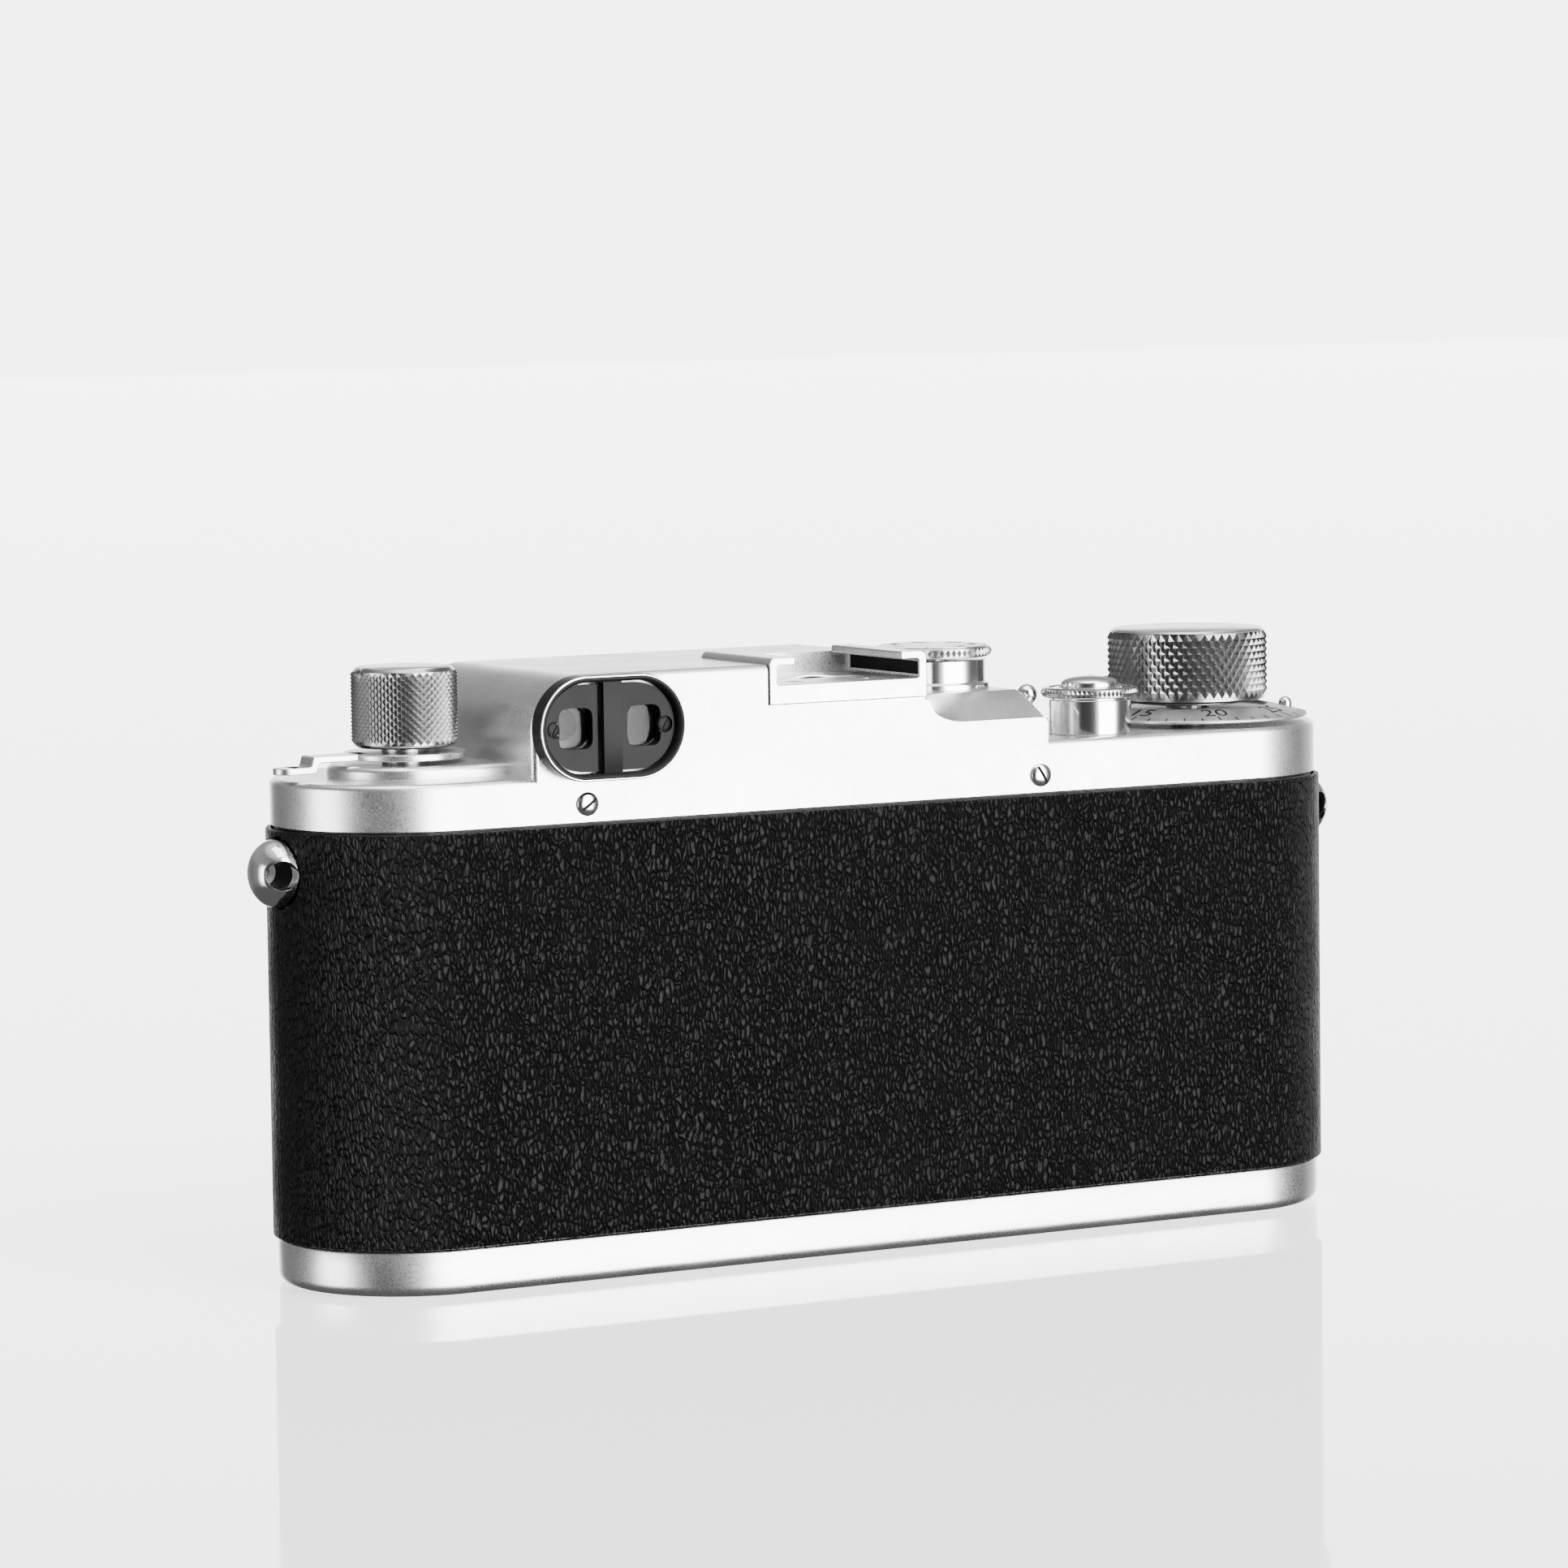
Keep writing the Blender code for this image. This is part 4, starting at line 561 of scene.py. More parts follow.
def label(text, size):
    """Flat text as a mesh shape in millimetres, centred on the origin."""
    curve = bpy.data.curves.new("label", "FONT")
    curve.body, curve.size = text, size
    curve.align_x, curve.align_y = "CENTER", "CENTER"
    curve.extrude = 0.012
    thing = bpy.data.objects.new("label", curve)
    bpy.context.scene.collection.objects.link(thing)
    bpy.context.view_layer.update()
    mesh = thing.evaluated_get(bpy.context.evaluated_depsgraph_get()).to_mesh()
    bm = bmesh.new()
    bm.from_mesh(mesh)
    bpy.data.objects.remove(thing, do_unlink=True)
    bpy.data.curves.remove(curve)
    return bm


def dial_marks(labels, radius, size, inward=True, start=0.0, sweep=360.0):
    """Numbers round a dial, evenly spaced."""
    shapes = []
    for i, text in enumerate(labels):
        angle = start + sweep * i / len(labels)
        facing = angle + 90 if inward else angle - 90
        shapes.append(moved(label(text, size), *on_circle(radius, angle), turn=facing))
    return shapes


def ticks(count, inner, outer, width, start=0.0, sweep=360.0, long_every=0, long_by=0.0):
    """Engraved lines round a dial."""
    shapes = []
    for i in range(count):
        extra = long_by if long_every and i % long_every == 0 else 0.0
        line = box((inner - extra, -width / 2, -0.012), (outer, width / 2, 0.012))
        shapes.append(moved(line, turn=start + sweep * i / count))
    return shapes


def lay_on(bm, surface):
    """Lifts flat marks on to a surface whose height depends on the radius."""
    for vert in bm.verts:
        vert.co.z += surface(math.hypot(vert.co.x, vert.co.y))
    return bm


def screw_head(radius, dome, slot_turn, depth=0.28, width=0.36):
    """A domed, slotted screw head standing on z 0."""
    profile = [(0, -0.2), (radius, -0.2), (radius, 0.12)]
    profile += [(radius * c, 0.12 + dome * s) for c, s in arc((0, 0), 1, 8, 82, 8)]
    profile.append((0, 0.12 + dome))
    groove = box((-3, -width / 2, 0.12 + dome - depth), (3, width / 2, 3))
    return carve(turned(profile, 48), moved(groove, turn=slot_turn))


# ---- body ---------------------------------------------------------------------


def build_body():
    edge = 0.22
    loops = [body_outline(edge, SKIN_FOOT), body_outline(edge * 0.3, SKIN_FOOT + edge * 0.3)]
    loops.append(body_outline(0, SKIN_FOOT + edge))
    rows = 24
    for i in range(1, rows):
        z = SKIN_FOOT + edge + (SKIN_TOP - SKIN_FOOT - 2 * edge) * i / rows
        loops.append(body_outline(0, z))
    loops += [body_outline(0, SKIN_TOP - edge), body_outline(edge * 0.3, SKIN_TOP - edge * 0.3)]
    loops += [body_outline(edge, SKIN_TOP), body_outline(0.6, SKIN_TOP), body_outline(0.6, SKIN_FOOT)]
    cuts = []
    for side in (1, -1):
        cuts.append(rod(4.1, (side * 58, 0, LUG_Z), (side * 72, 0, LUG_Z), 48))
    cuts.append(rod(22.3, (0, 0, LENS_Z), (0, -40, LENS_Z), 96))
    cuts.append(rod(2.1, (SLOW_X, 0, SLOW_Z), (SLOW_X, -40, SLOW_Z), 32))
    piece("vulcanite_covering", carve(rings(loops, True), *cuts), "skin", stands_for="body_covering")

    loops = [body_outline(CHROME + 4.0, 0.0)]
    for i in range(9):
        turn = math.radians(90 * i / 8)
        inset = CHROME + 1.3 * (1 - math.sin(turn))
        loops.append(body_outline(inset, 1.3 * (1 - math.cos(turn))))
    loops += [body_outline(CHROME, BASE_HEIGHT - 0.2), body_outline(CHROME + 0.12, BASE_HEIGHT)]
    loops += [body_outline(CHROME + 1.2, BASE_HEIGHT), body_outline(CHROME + 1.2, 1.2)]
    lock = rod(9.8, (LOCK_X, 0, -1), (LOCK_X, 0, 6), 80)
    bush = rod(7.3, (BUSH_X, 0, -1), (BUSH_X, 0, 6), 64)
    piece("chrome_base_plate", carve(rings(loops), lock, bush), "satin", "base", "base_plate")

    disc = [(0, 1.2), (8.9, 1.2), (9.1, 0.5), (9.5, 0.5), (9.5, 1.5), (11, 1.5), (11, 2.5), (3, 2.5)]
    disc += [(3, 6.4), (0, 6.4)]
    tongue = box((-2.5, -2.5, 5.2), (2.5, 11.9, 7.0))
    lock = merged(turned(disc, 80), tongue)
    piece("base_lock", lock, "bright", "lock", "base_lock_disc", at=(LOCK_X, 0, 0))
    outer = arc((0, 0), 8.6, -88, 88, 28) + [(-0.3, 8.4), (-0.3, -8.4)]
    window = arc((0.9, 0), 6.4, -80, 80, 24)
    bail = carve(soft_prism(outer, 0.15, 0.85), prism(window, -1, 2))
    piece("lock_bail", bail, "bright", "key", "base_lock_key", at=(LOCK_X, 0, 0))
    bush = [(0, 4.8), (4.76, 4.8), (4.76, 0.5), (5.1, 0.12), (6.8, 0.12), (7, 0.3), (7, 1.5), (8.4, 1.5)]
    bush += [(8.4, 5.8), (0, 5.8)]
    threads = []
    for i in range(7):
        z = 0.9 + 0.55 * i
        threads.append(turned([(4.35, z), (4.8, z - 0.22), (4.8, z + 0.22)], 64))
    piece("tripod_socket", merged(turned(bush, 64), *threads), "steel", "base", "tripod_bush", (BUSH_X, 0, 0))


def build_lugs():
    for name, side, turn in (("left", 1, TO_LEFT), ("right", -1, TO_RIGHT)):
        profile = [(0, -0.6), (LUG_RADIUS, -0.6), (LUG_RADIUS, 0.5)]
        profile += [(LUG_RADIUS * c, 0.6 + 2.9 * s) for c, s in arc((0, 0), 1, 4, 86, 16)] + [(0, 3.5)]
        sides = [rod(6.0, (-9, e * 7.3, 6.1), (9, e * 7.3, 6.1), 96) for e in (1, -1)]
        eye = rod(LUG_EYE, (0, -6, 1.1), (0, 6, 1.1), 40)
        lug = carve(turned(profile, 72), *sides, eye)
        place = (side * BODY_LENGTH / 2, 0, LUG_Z)
        widths = ((1.66, -1.9), (1.66, 1.9), (1.52, 1.9), (1.52, -1.9))
        shade = moved(turned(widths, 40), z=1.1, turn=90, axis="X")
        piece(f"strap_hole_shade_{name}", shade, "mark", at=place, turn=turn)
        node = f"strap_lug_{name}"
        piece(f"strap_eyelet_{name}", lug, "bright", stands_for=node, at=place, turn=turn, bevel=0.12)


# ---- top cover ----------------------------------------------------------------


def block(outline, foot, top, inset, rounding):
    loops = [outline(inset + 0.1, foot), outline(inset, foot + 0.1)]
    for i in range(9):
        turn = math.radians(90 * i / 8)
        z = top - rounding * (1 - math.sin(turn))
        loops.append(outline(inset + rounding * (1 - math.cos(turn)), z))
    return rings(loops)


def housing_block(back, right, foot, edge=0.8):
    """The tall housing; its upper rewind corner is round, and its edges are eased."""
    loops = []
    for i in range(9):
        turn = math.radians(90 * i / 8)
        inset = edge * (1 - math.sin(turn))
        left, top = HOUSING_END - inset, HOUSING_TOP - inset
        radius = 6.3 - inset
        corner = arc((left - radius, top - radius), radius, 0, 90, 20)
        near = right + inset * 0.3
        profile = [(near, foot), (left, foot), *corner]
        profile += [(near + 0.3, top), (near + 0.1, top - 0.1), (near, top - 0.3)]
        loops.append((back - edge * (1 - math.cos(turn)), profile))
    rows = [[Vector((x, y, z)) for x, z in profile] for y, profile in loops]
    front = [[Vector((p.x, -p.y, p.z)) for p in row] for row in reversed(rows)]
    return rings(rows + front)


def plateau_block(back):
    """The lower housing with the scoop sloping down to the back face."""
    drop, run, edge = 2.8, 6.0, 0.45
    end, start = PLATEAU_END, SHOE_LEFT + 1
    loops = []
    foot = COVER_FOOT + 0.15
    curve_x = SHOE_RIGHT - 0.4
    xs = [end, end + 0.12, end + edge, -20.0, -16.0, curve_x - 4.8]
    xs += [curve_x - 4.8 * math.cos(math.radians(90 * i / 10)) for i in range(1, 11)]
    xs += [curve_x + 0.6, start]
    for x in xs:
        if x <= curve_x - 4.8:
            share = 1.0
        elif x >= curve_x:
            share = 0.0
        else:
            share = math.sqrt(max(0.0, 1 - ((x - curve_x + 4.8) / 4.8) ** 2))
        ease = edge * (1 - min(1, (x - end) / edge)) ** 2
        top = PLATEAU - ease
        reach, fall = run * share, drop * share
        side = [(back, foot), (back, top - fall - 0.25), (back - 0.07, top - fall - 0.07)]
        side += [(back - 0.3 - reach * 0.04, top - fall * 0.97), (back - reach * 0.5, top - fall * 0.49)]
        side += [(back - max(reach, 0.3) - 0.1, top - 0.05), (back - max(reach, 0.3) - 0.5, top)]
        side += [(-back + 0.6, top), (-back + 0.17, top - 0.17), (-back, top - 0.6), (-back, foot)]
        loops.append([Vector((x, y, z)) for y, z in side])
    return rings(loops)


def build_cover():
    join_x = SHOE_LEFT + 2.0
    rewind = block(body_outline, COVER_FOOT, REWIND_DECK, CHROME, DECK_EDGE)

    def wind_outline(inset, z):
        return square_ended(inset, z, join_x)

    wind = block(wind_outline, COVER_FOOT + 0.05, WIND_DECK, CHROME - 0.006, DECK_EDGE)
    stand = block(
        lambda i, z: slot(29 - 2 * i, 17 - 2 * i, z, (REWIND_X - 6, 0)), REWIND_DECK - 1, PLATFORM, -0.3, 0.7
    )
    flare = []
    for i in range(6):
        turn = math.radians(90 * i / 5)
        spread = 1.2 - 1.2 * math.sin(turn)
        flare.append(slot(29 + spread, 17 + spread, 0, (REWIND_X - 6, 0)))
        for point in flare[-1]:
            point.z = REWIND_DECK - 0.05 + 0.6 * (1 - math.cos(turn))
    foot_flare = rings(flare)
    plateau = plateau_block(BACK + 0.012)
    housing = housing_block(BACK + 0.018, SHOE_RIGHT, COVER_FOOT + 0.25)
    notch = box((SHOE_RIGHT - 2, SHOE_FRONT - 0.3, SHOE_SEAT), (SHOE_LEFT + 0.3, BACK + 2, 80))
    pockets = [rod(3.0, (x, BACK + 3, EYE_Z), (x, 6, EYE_Z), 48) for x in (RANGE_X, FINDER_X)]
    pockets += [rod(3.3, (x, -BACK - 3, WINDOW_Z), (x, -6, WINDOW_Z), 48) for x in (RANGE_X, RANGE_RIGHT_X)]
    low = (FINDER_WINDOW_X - 3.8, -BACK - 3, WINDOW_Z - 2.8)
    high = (FINDER_WINDOW_X + 3.8, -6, WINDOW_Z + 2.8)
    pockets.append(box(low, high))
    housing = carve(housing, notch, *pockets)
    whole = merged(rewind, wind, stand, foot_flare, plateau, housing)
    piece("chrome_top_cover", whole, "satin", stands_for="top_cover", sharp=28, even=True)

    # Black tubes lining the pockets behind the eyepiece: painted shade for the dark inside of the finder.
    dark = []
    for x in (RANGE_X, FINDER_X):
        walls = ((2.98, 0), (2.98, 8.2), (2.7, 8.2), (2.7, 0.3), (0, 0.3))
        tunnel = rings([circle(radius, z, 40) for radius, z in walls])
        dark.append(moved(tunnel, x, 6.2, EYE_Z, -90, "X"))
    piece("eye_tunnels", merged(*dark), "mark")

    z = COVER_FOOT + 2.1
    places = (
        ("rear_left", EYE_X + 2.4, 1, 35),
        ("rear_right", PLATEAU_END + 1.1, 1, -60),
        ("front_left", 30.0, -1, 20),
        ("front_right", -30.0, -1, 70),
    )
    for name, x, side, slot_turn in places:
        head = moved(screw_head(1.35, 0.55, slot_turn), z=0.05)
        node = f"cover_screw_{name}"
        turn = BACKWARD if side > 0 else FORWARD
        piece(f"slotted_screw_{name}", head, "bright", stands_for=node, at=(x, side * BACK, z), turn=turn)
        # A black bar down in each screw slot: painted shade in the slot.
        slot_shade_bar = moved(box((-1.15, -0.17, 0.3), (1.15, 0.17, 0.5)), turn=slot_turn)
        piece(f"slot_shadow_{name}", slot_shade_bar, "mark", at=(x, side * BACK, z), turn=turn)


def build_eyepieces():
    at = (EYE_X, BACK, EYE_Z)
    walls = [(0, 0.0), (0, 1.9), (0.12, 2.08), (0.3, 2.15), (0.5, 2.15), (0.7, 2.0), (0.8, 1.8), (0.8, 0.0)]
    rim = rings([slot(EYE_WIDTH - 2 * i, EYE_HEIGHT - 2 * i, z) for i, z in walls], True)
    bead = [(0.06, 1.95), (0.06, 2.1), (0.14, 2.17), (0.22, 2.17), (0.28, 2.1), (0.28, 1.95)]
    bead = rings([slot(EYE_WIDTH - 2 * i, EYE_HEIGHT - 2 * i, z) for i, z in bead], True)
    piece("eyepiece_worn_edge", bead, "bright", at=at, turn=BACKWARD)
    ridge = soft_prism([(-1.2, -5.2), (1.2, -5.2), (1.2, 5.2), (-1.2, 5.2)], 0.0, 1.95, 0.2)
    piece("eyepiece_rim", merged(rim, ridge), "gloss", stands_for="eyepiece_bezel", at=at, turn=BACKWARD)
    for name, side in (("rangefinder", 1), ("finder", -1)):
        edge = [(side * x, y) for x, y in arc((3.3, 0), 4.85, -90, 90, 32)]
        outline = [(side * 1.55, -4.85), *edge, (side * 1.55, 4.85)]
        opening = rounded([(-2.1, -2.3), (2.1, -2.3), (2.1, 2.3), (-2.1, 2.3)], 1.15, 4)
        hole = moved(prism(opening, -1, 3), x=side * EYE_HALF_GAP)
        widths = ((0.0, 0.0), (0.0, -2.6), (-0.12, -2.6), (-0.12, 0.0))
        loops = []
        for grow, z in widths:
            share = 1 - grow / 2.2
            loops.append([Vector((x * share, y * share, z)) for x, y in opening])
        tube = rings(loops, True)
        depth = (EYE_X + side * EYE_HALF_GAP, BACK - 0.55, EYE_Z)
        piece(f"eyepiece_tube_{name}", tube, "gloss", at=depth, turn=BACKWARD)
        piece(f"eyepiece_prism_{name}", prism(opening, -2.9, -2.5), "prism", at=depth, turn=BACKWARD)
        seat = rod(0.95, (side * 6.95, 0, 0.75), (side * 6.95, 0, 3), 36)
        plate = carve(prism(outline, 0.05, 1.2), hole, seat)
        node = f"eyepiece_plate_{name}"
        piece(f"eyepiece_mask_{name}", plate, "gloss", stands_for=node, at=at, turn=BACKWARD, bevel=0.08)
        tiny = moved(screw_head(0.8, 0.2, 62, 0.16, 0.22), z=0.78, x=side * 6.95)
        piece(f"eyepiece_screw_{name}", tiny, "gloss", at=at, turn=BACKWARD)
        glass = turned([(0, -0.5), (2.6, -0.5), (2.6, -0.1), (0, 0.12)], 48)
        x = EYE_X + side * EYE_HALF_GAP
        node = f"eyepiece_glass_{name}"
        piece(f"eyepiece_pane_{name}", glass, "glass", stands_for=node, at=(x, BACK, EYE_Z), turn=BACKWARD)


def build_windows():
    for name, x in (("left", RANGE_X), ("right", RANGE_RIGHT_X)):
        profile = [(3.0, 0.0), (4.4, 0.0), (4.4, 0.9), (3.7, 1.3), (3.0, 1.3)]
        profile = round_profile(profile, [0, 0, 0.2, 0.1, 0.1])
        at = (x, -BACK, WINDOW_Z)
        node = f"range_window_ring_{name}"
        piece(f"range_window_rim_{name}", turned(profile, 64), "bright", stands_for=node, at=at, turn=FORWARD)
        glass = turned([(0, -0.6), (3.0, -0.6), (3.0, -0.1), (0, 0.1)], 48)
        node = f"range_window_glass_{name}"
        piece(f"range_window_pane_{name}", glass, "glass", stands_for=node, at=at, turn=FORWARD)
        # A black cup behind the glass: painted shade for the dark inside seen through the window.
        cup = rings([circle(r, z, 40) for r, z in ((3.28, -0.8), (3.28, -8), (0, -8))])
        piece(f"range_window_well_{name}", cup, "mark", at=at, turn=FORWARD)
    at = (FINDER_WINDOW_X, -BACK, WINDOW_Z)
    rim = carve(soft_prism(rounded([(-4.7, -3.7), (4.7, -3.7), (4.7, 3.7), (-4.7, 3.7)], 0.7), 0.0, 1.2),
                prism(rounded([(-3.5, -2.5), (3.5, -2.5), (3.5, 2.5), (-3.5, 2.5)], 0.4), -2, 3))
    piece("finder_window_rim", rim, "bright", stands_for="finder_window_frame", at=at, turn=FORWARD)
    piece("finder_window_pane", box((-3.6, -2.6, -0.6), (3.6, 2.6, -0.1)), "glass",
          stands_for="finder_window_glass", at=at, turn=FORWARD, bevel=0.05)
    # A black sheet behind the glass: painted shade for the dark inside seen through the window.
    well = box((-3.78, -2.78, -8), (3.78, 2.78, -7))
    piece("finder_window_well", well, "mark", at=at, turn=FORWARD, bevel=0.1)


def build_shoe():
    foot = SHOE_SEAT + 0.05
    floor, top = 65.6, 68.7
    half, inner, lip = 10.3, 9.35, 7.0
    side = [(half, foot), (half, top), (lip, top), (lip, top - 0.85), (inner, top - 0.85), (inner, floor)]
    radii = [0.1, 0.9, 0.25, 0.2, 0.35, 0.35]
    outline = [(SHOE_X + x, z) for x, z in side] + [(SHOE_X - x, z) for x, z in reversed(side)]
    shoe = prism(rounded(outline, radii + radii[::-1], 6), SHOE_FRONT, BACK, "Y")
    low, high = (SHOE_X - 8.9, 2.0, floor - 0.6), (SHOE_X + 8.9, 7.1, floor + 1)
    piece("shoe_bracket", carve(shoe, box(low, high)), "satin", stands_for="accessory_shoe", bevel=0.16)
    for name, side in (("left", 1), ("right", -1)):
        xs = sorted((SHOE_X + side * (inner - 0.03), SHOE_X + side * (inner + 0.02)))
        # Thin black strips on the inner walls: painted shade under the shoe's overhanging lips.
        shoe_shade_strip = box((xs[0], SHOE_FRONT + 0.4, floor + 0.4), (xs[1], BACK - 0.3, top - 1.2))
        piece(f"shoe_painted_shade_{name}", shoe_shade_strip, "mark")
    leaf = []
    for i in range(41):
        x = -8.7 + 17.4 * i / 40
        rise = 0.42 * math.exp(-((x - 0.2) / 2.6) ** 2)
        leaf.append((SHOE_X + x, floor + rise + 0.02))
    under = [(x, z - 0.3) for x, z in reversed(leaf)]
    spring = prism(leaf + under, 2.4, 6.8, "Y")
    piece("shoe_leaf_spring", spring, "steel", stands_for="shoe_spring", bevel=0.06)
    for i, (x, y) in enumerate(((-4.5, 10.5), (4.5, 10.5), (-4.5, 0.6), (4.5, 0.6))):
        head = screw_head(0.95, 0.08, 25 + 50 * i, 0.14, 0.24)
        piece(f"shoe_screw_{i + 1}", head, "steel", at=(SHOE_X + x, y, floor - 0.1))


# ---- wind side ----------------------------------------------------------------


def build_wind_side():
    low, high = 60.1, 68.7
    below = [(0, low + 1.2), (7.6, low + 1.2), (7.9, low), (8.7, low), (9.15, low + 0.25)]
    above = [(9.15, high - 0.28), (8.9, high - 0.08), (8.6, high - 0.03), (0, high - 0.03)]
    knob = knurled(below, WIND_KNOB_RADIUS, low + 0.5, high - 0.34, above, 54, 10, 0.45)
    piece("wind_knob_knurled", knob, "knurl", "wind", "wind_knob", (WIND_X, 0, 0), sharp=24)
    cap = turned([(0, high - 0.4), (8.75, high - 0.4), (8.75, high - 0.05), (8.65, high), (0, high)], 96)
    piece("wind_knob_top", cap, "satin", "wind", at=(WIND_X, 0, 0))
    skirt = turned(round_profile([(2.4, 59.7), (6.3, 59.7), (6.3, 61.4), (2.4, 61.4)], 0.15), 64)
    piece("wind_knob_hub", skirt, "bright", "wind", at=(WIND_X, 0, 0))

    low, edge, top = WIND_DECK + 0.55, WIND_DECK + 0.9, WIND_DECK + 2.0
    slope = (top - edge) / (DIAL_RADIUS - DIAL_INNER)
    profile = [(2.6, low), (14.05, low), (DIAL_RADIUS, low + 0.12), (DIAL_RADIUS, edge - 0.06)]
    profile += [(14.12, edge + 0.04)]
    profile += [(14.0, edge + 0.2 * slope), (DIAL_INNER, top), (9.6, top), (9.5, top - 0.4), (2.6, top - 0.4)]
    piece("counter_dial_disc", turned(profile, 144), "dial", "counter", "counter_dial", (WIND_X, 0, 0))

    def cone(radius):
        return edge + (DIAL_RADIUS - radius) * slope + 0.01

    marks = ticks(40, 13.1, 14.0, 0.18, -107, long_every=5, long_by=0.5)
    marks += dial_marks(("0", "5", "10", "15", "20", "25", "30", "35"), 11.3, 3.2, start=-107)
    marks = lay_on(merged(*marks), cone)
    piece("counter_dial_numbers", marks, "mark", "counter", at=(WIND_X, 0, 0))
    pins = []
    for turn in (165, 345):
        profile = [(0, -0.6), (0.8, -0.6), (0.8, 0.0)]
        profile += [(0.8 * c, 0.8 * s) for c, s in arc((0, 0), 1, 6, 84, 10)]
        pin = turned(profile + [(0, 0.8)], 32)
        pins.append(moved(pin, *on_circle(12.3, turn), cone(12.3) + 0.3))
    piece("counter_dial_pins", merged(*pins), "bright", "counter", at=(WIND_X, 0, 0))


# ---- rewind side --------------------------------------------------------------


def build_rewind_side():
    low, high = 59.9, 68.9
    below = [(0, low + 1.0), (4.4, low + 1.0), (4.6, low), (5.3, low), (5.6, low + 0.2)]
    above = [(5.65, high - 0.4), (5.4, high - 0.1), (5.1, high - 0.03), (0, high - 0.03)]
    knob = knurled(below, REWIND_KNOB_RADIUS, low + 0.4, high - 0.48, above, 42, 20, 0.3)
    groove = box((-7, -0.45, high - 0.9), (7, 0.45, high + 1))
    at = (REWIND_X, 0, 0)
    piece("rewind_knob_knurled", carve(knob, groove), "knurl", "rewind_knob", "rewind_knob", at, sharp=24)
    cap = turned([(0, high - 0.4), (5.25, high - 0.4), (5.25, high - 0.05), (5.15, high), (0, high)], 96)
    groove = box((-7, -0.42, high - 0.9), (7, 0.42, high + 1))
    piece("rewind_knob_top", carve(cap, groove), "satin", "rewind_knob", at=(REWIND_X, 0, 0))
    stem = turned([(0, 57.6), (2.6, 57.6), (2.6, 61.0), (0, 61.0)], 40)
    piece("rewind_stem", stem, "steel", "rewind_fork", at=(REWIND_X, 0, 0), bevel=0.1)

    low, top = 58.65, 59.4
    disc = round_profile([(2.75, low), (6.85, low), (6.85, top), (2.75, top)], [0.05, 0.12, 0.2, 0.05])
    half = 1.6
    side = [(4.9, low), (11.4, low), (11.7, low - 1.15), (14.6, low - 1.15)]
    side += [(14.6, top - 1.15), (12.4, top - 1.15), (12.1, top), (4.9, top)]
    arm = prism(rounded(side, [0, 0.3, 0.3, 0, 0, 0.3, 0.3, 0], 4), -half, half, "Y")
    end = [(0, low - 1.15), (half, low - 1.15), (half, top - 1.15), (0, top - 1.15)]
    end = turned(round_profile(end, 0.12), 40)
    lever = merged(turned(disc, 96), arm, moved(end, x=14.6))
    piece("diopter_lever_arm", lever, "satin", "diopter", "diopter_lever", (REWIND_X, 0, 0), bevel=0.12)


# ---- release, levers and speed dials ------------------------------------------


def build_release():
    at = (*RELEASE, WIND_DECK)
    profile = round_profile(
        [(3.7, 0.02), (COLLAR_RADIUS, 0.02), (COLLAR_RADIUS, 4.05), (4.5, 4.05), (4.5, 5.35), (3.7, 5.35)],
        [0, 0.1, 0.15, 0, 0.1, 0.15],
    )
    piece("release_collar_tube", turned(profile, 80), "bright", stands_for="release_collar", at=at)
    low, high = 4.3, 5.45
    below = [(4.8, high), (4.8, low), (5.45, low)]
    above = [(5.4, high - 0.08), (5.2, high)]
    ring = knurled(below, RELEASE_RING_RADIUS, low + 0.12, high - 0.16, above, 64, 2, 0.22)
    piece("release_knurled_ring", ring, "knurl", stands_for="release_ring", at=at, sharp=24)
    dome = [(0, -1.5), (1.2, -1.5), (1.2, 2.4), (BUTTON_RADIUS, 2.4), (BUTTON_RADIUS, 5.7)]
    dome += [(BUTTON_RADIUS * c, 5.9 + 0.9 * s) for c, s in arc((0, 0), 1, 4, 78, 14)]
    dome += [(0.6, 6.78), (0.55, 6.3), (0, 6.2)]
    piece("release_dome", turned(dome, 80), "bright", "button", "release_button", at)


def build_lever():
    at = (*LEVER, WIND_DECK)
    hub = [(0, 0.3), (2.2, 0.3), (2.2, 2.3), (1.6, 2.7), (0, 2.7)]
    hub = turned(round_profile(hub, [0, 0.1, 0.2, 0.15, 0]), 56)
    arm = soft_prism(rounded([(-6.8, -0.9), (0, -1.3), (0, 1.3), (-6.8, 0.9)], [0.8, 0, 0, 0.8]), 0.9, 1.9)
    stem = [(0, 0.9), (0.75, 0.9), (0.75, 2.3)]
    stem += [(1.25 * c, 3.4 + 1.25 * s) for c, s in arc((0, 0), 1, -55, 84, 16)] + [(0, 4.65)]
    lever = merged(hub, arm, moved(turned(stem, 40), x=-5.9))
    piece("advance_rewind_arm", lever, "bright", "advance_lever", "advance_rewind_lever", at)


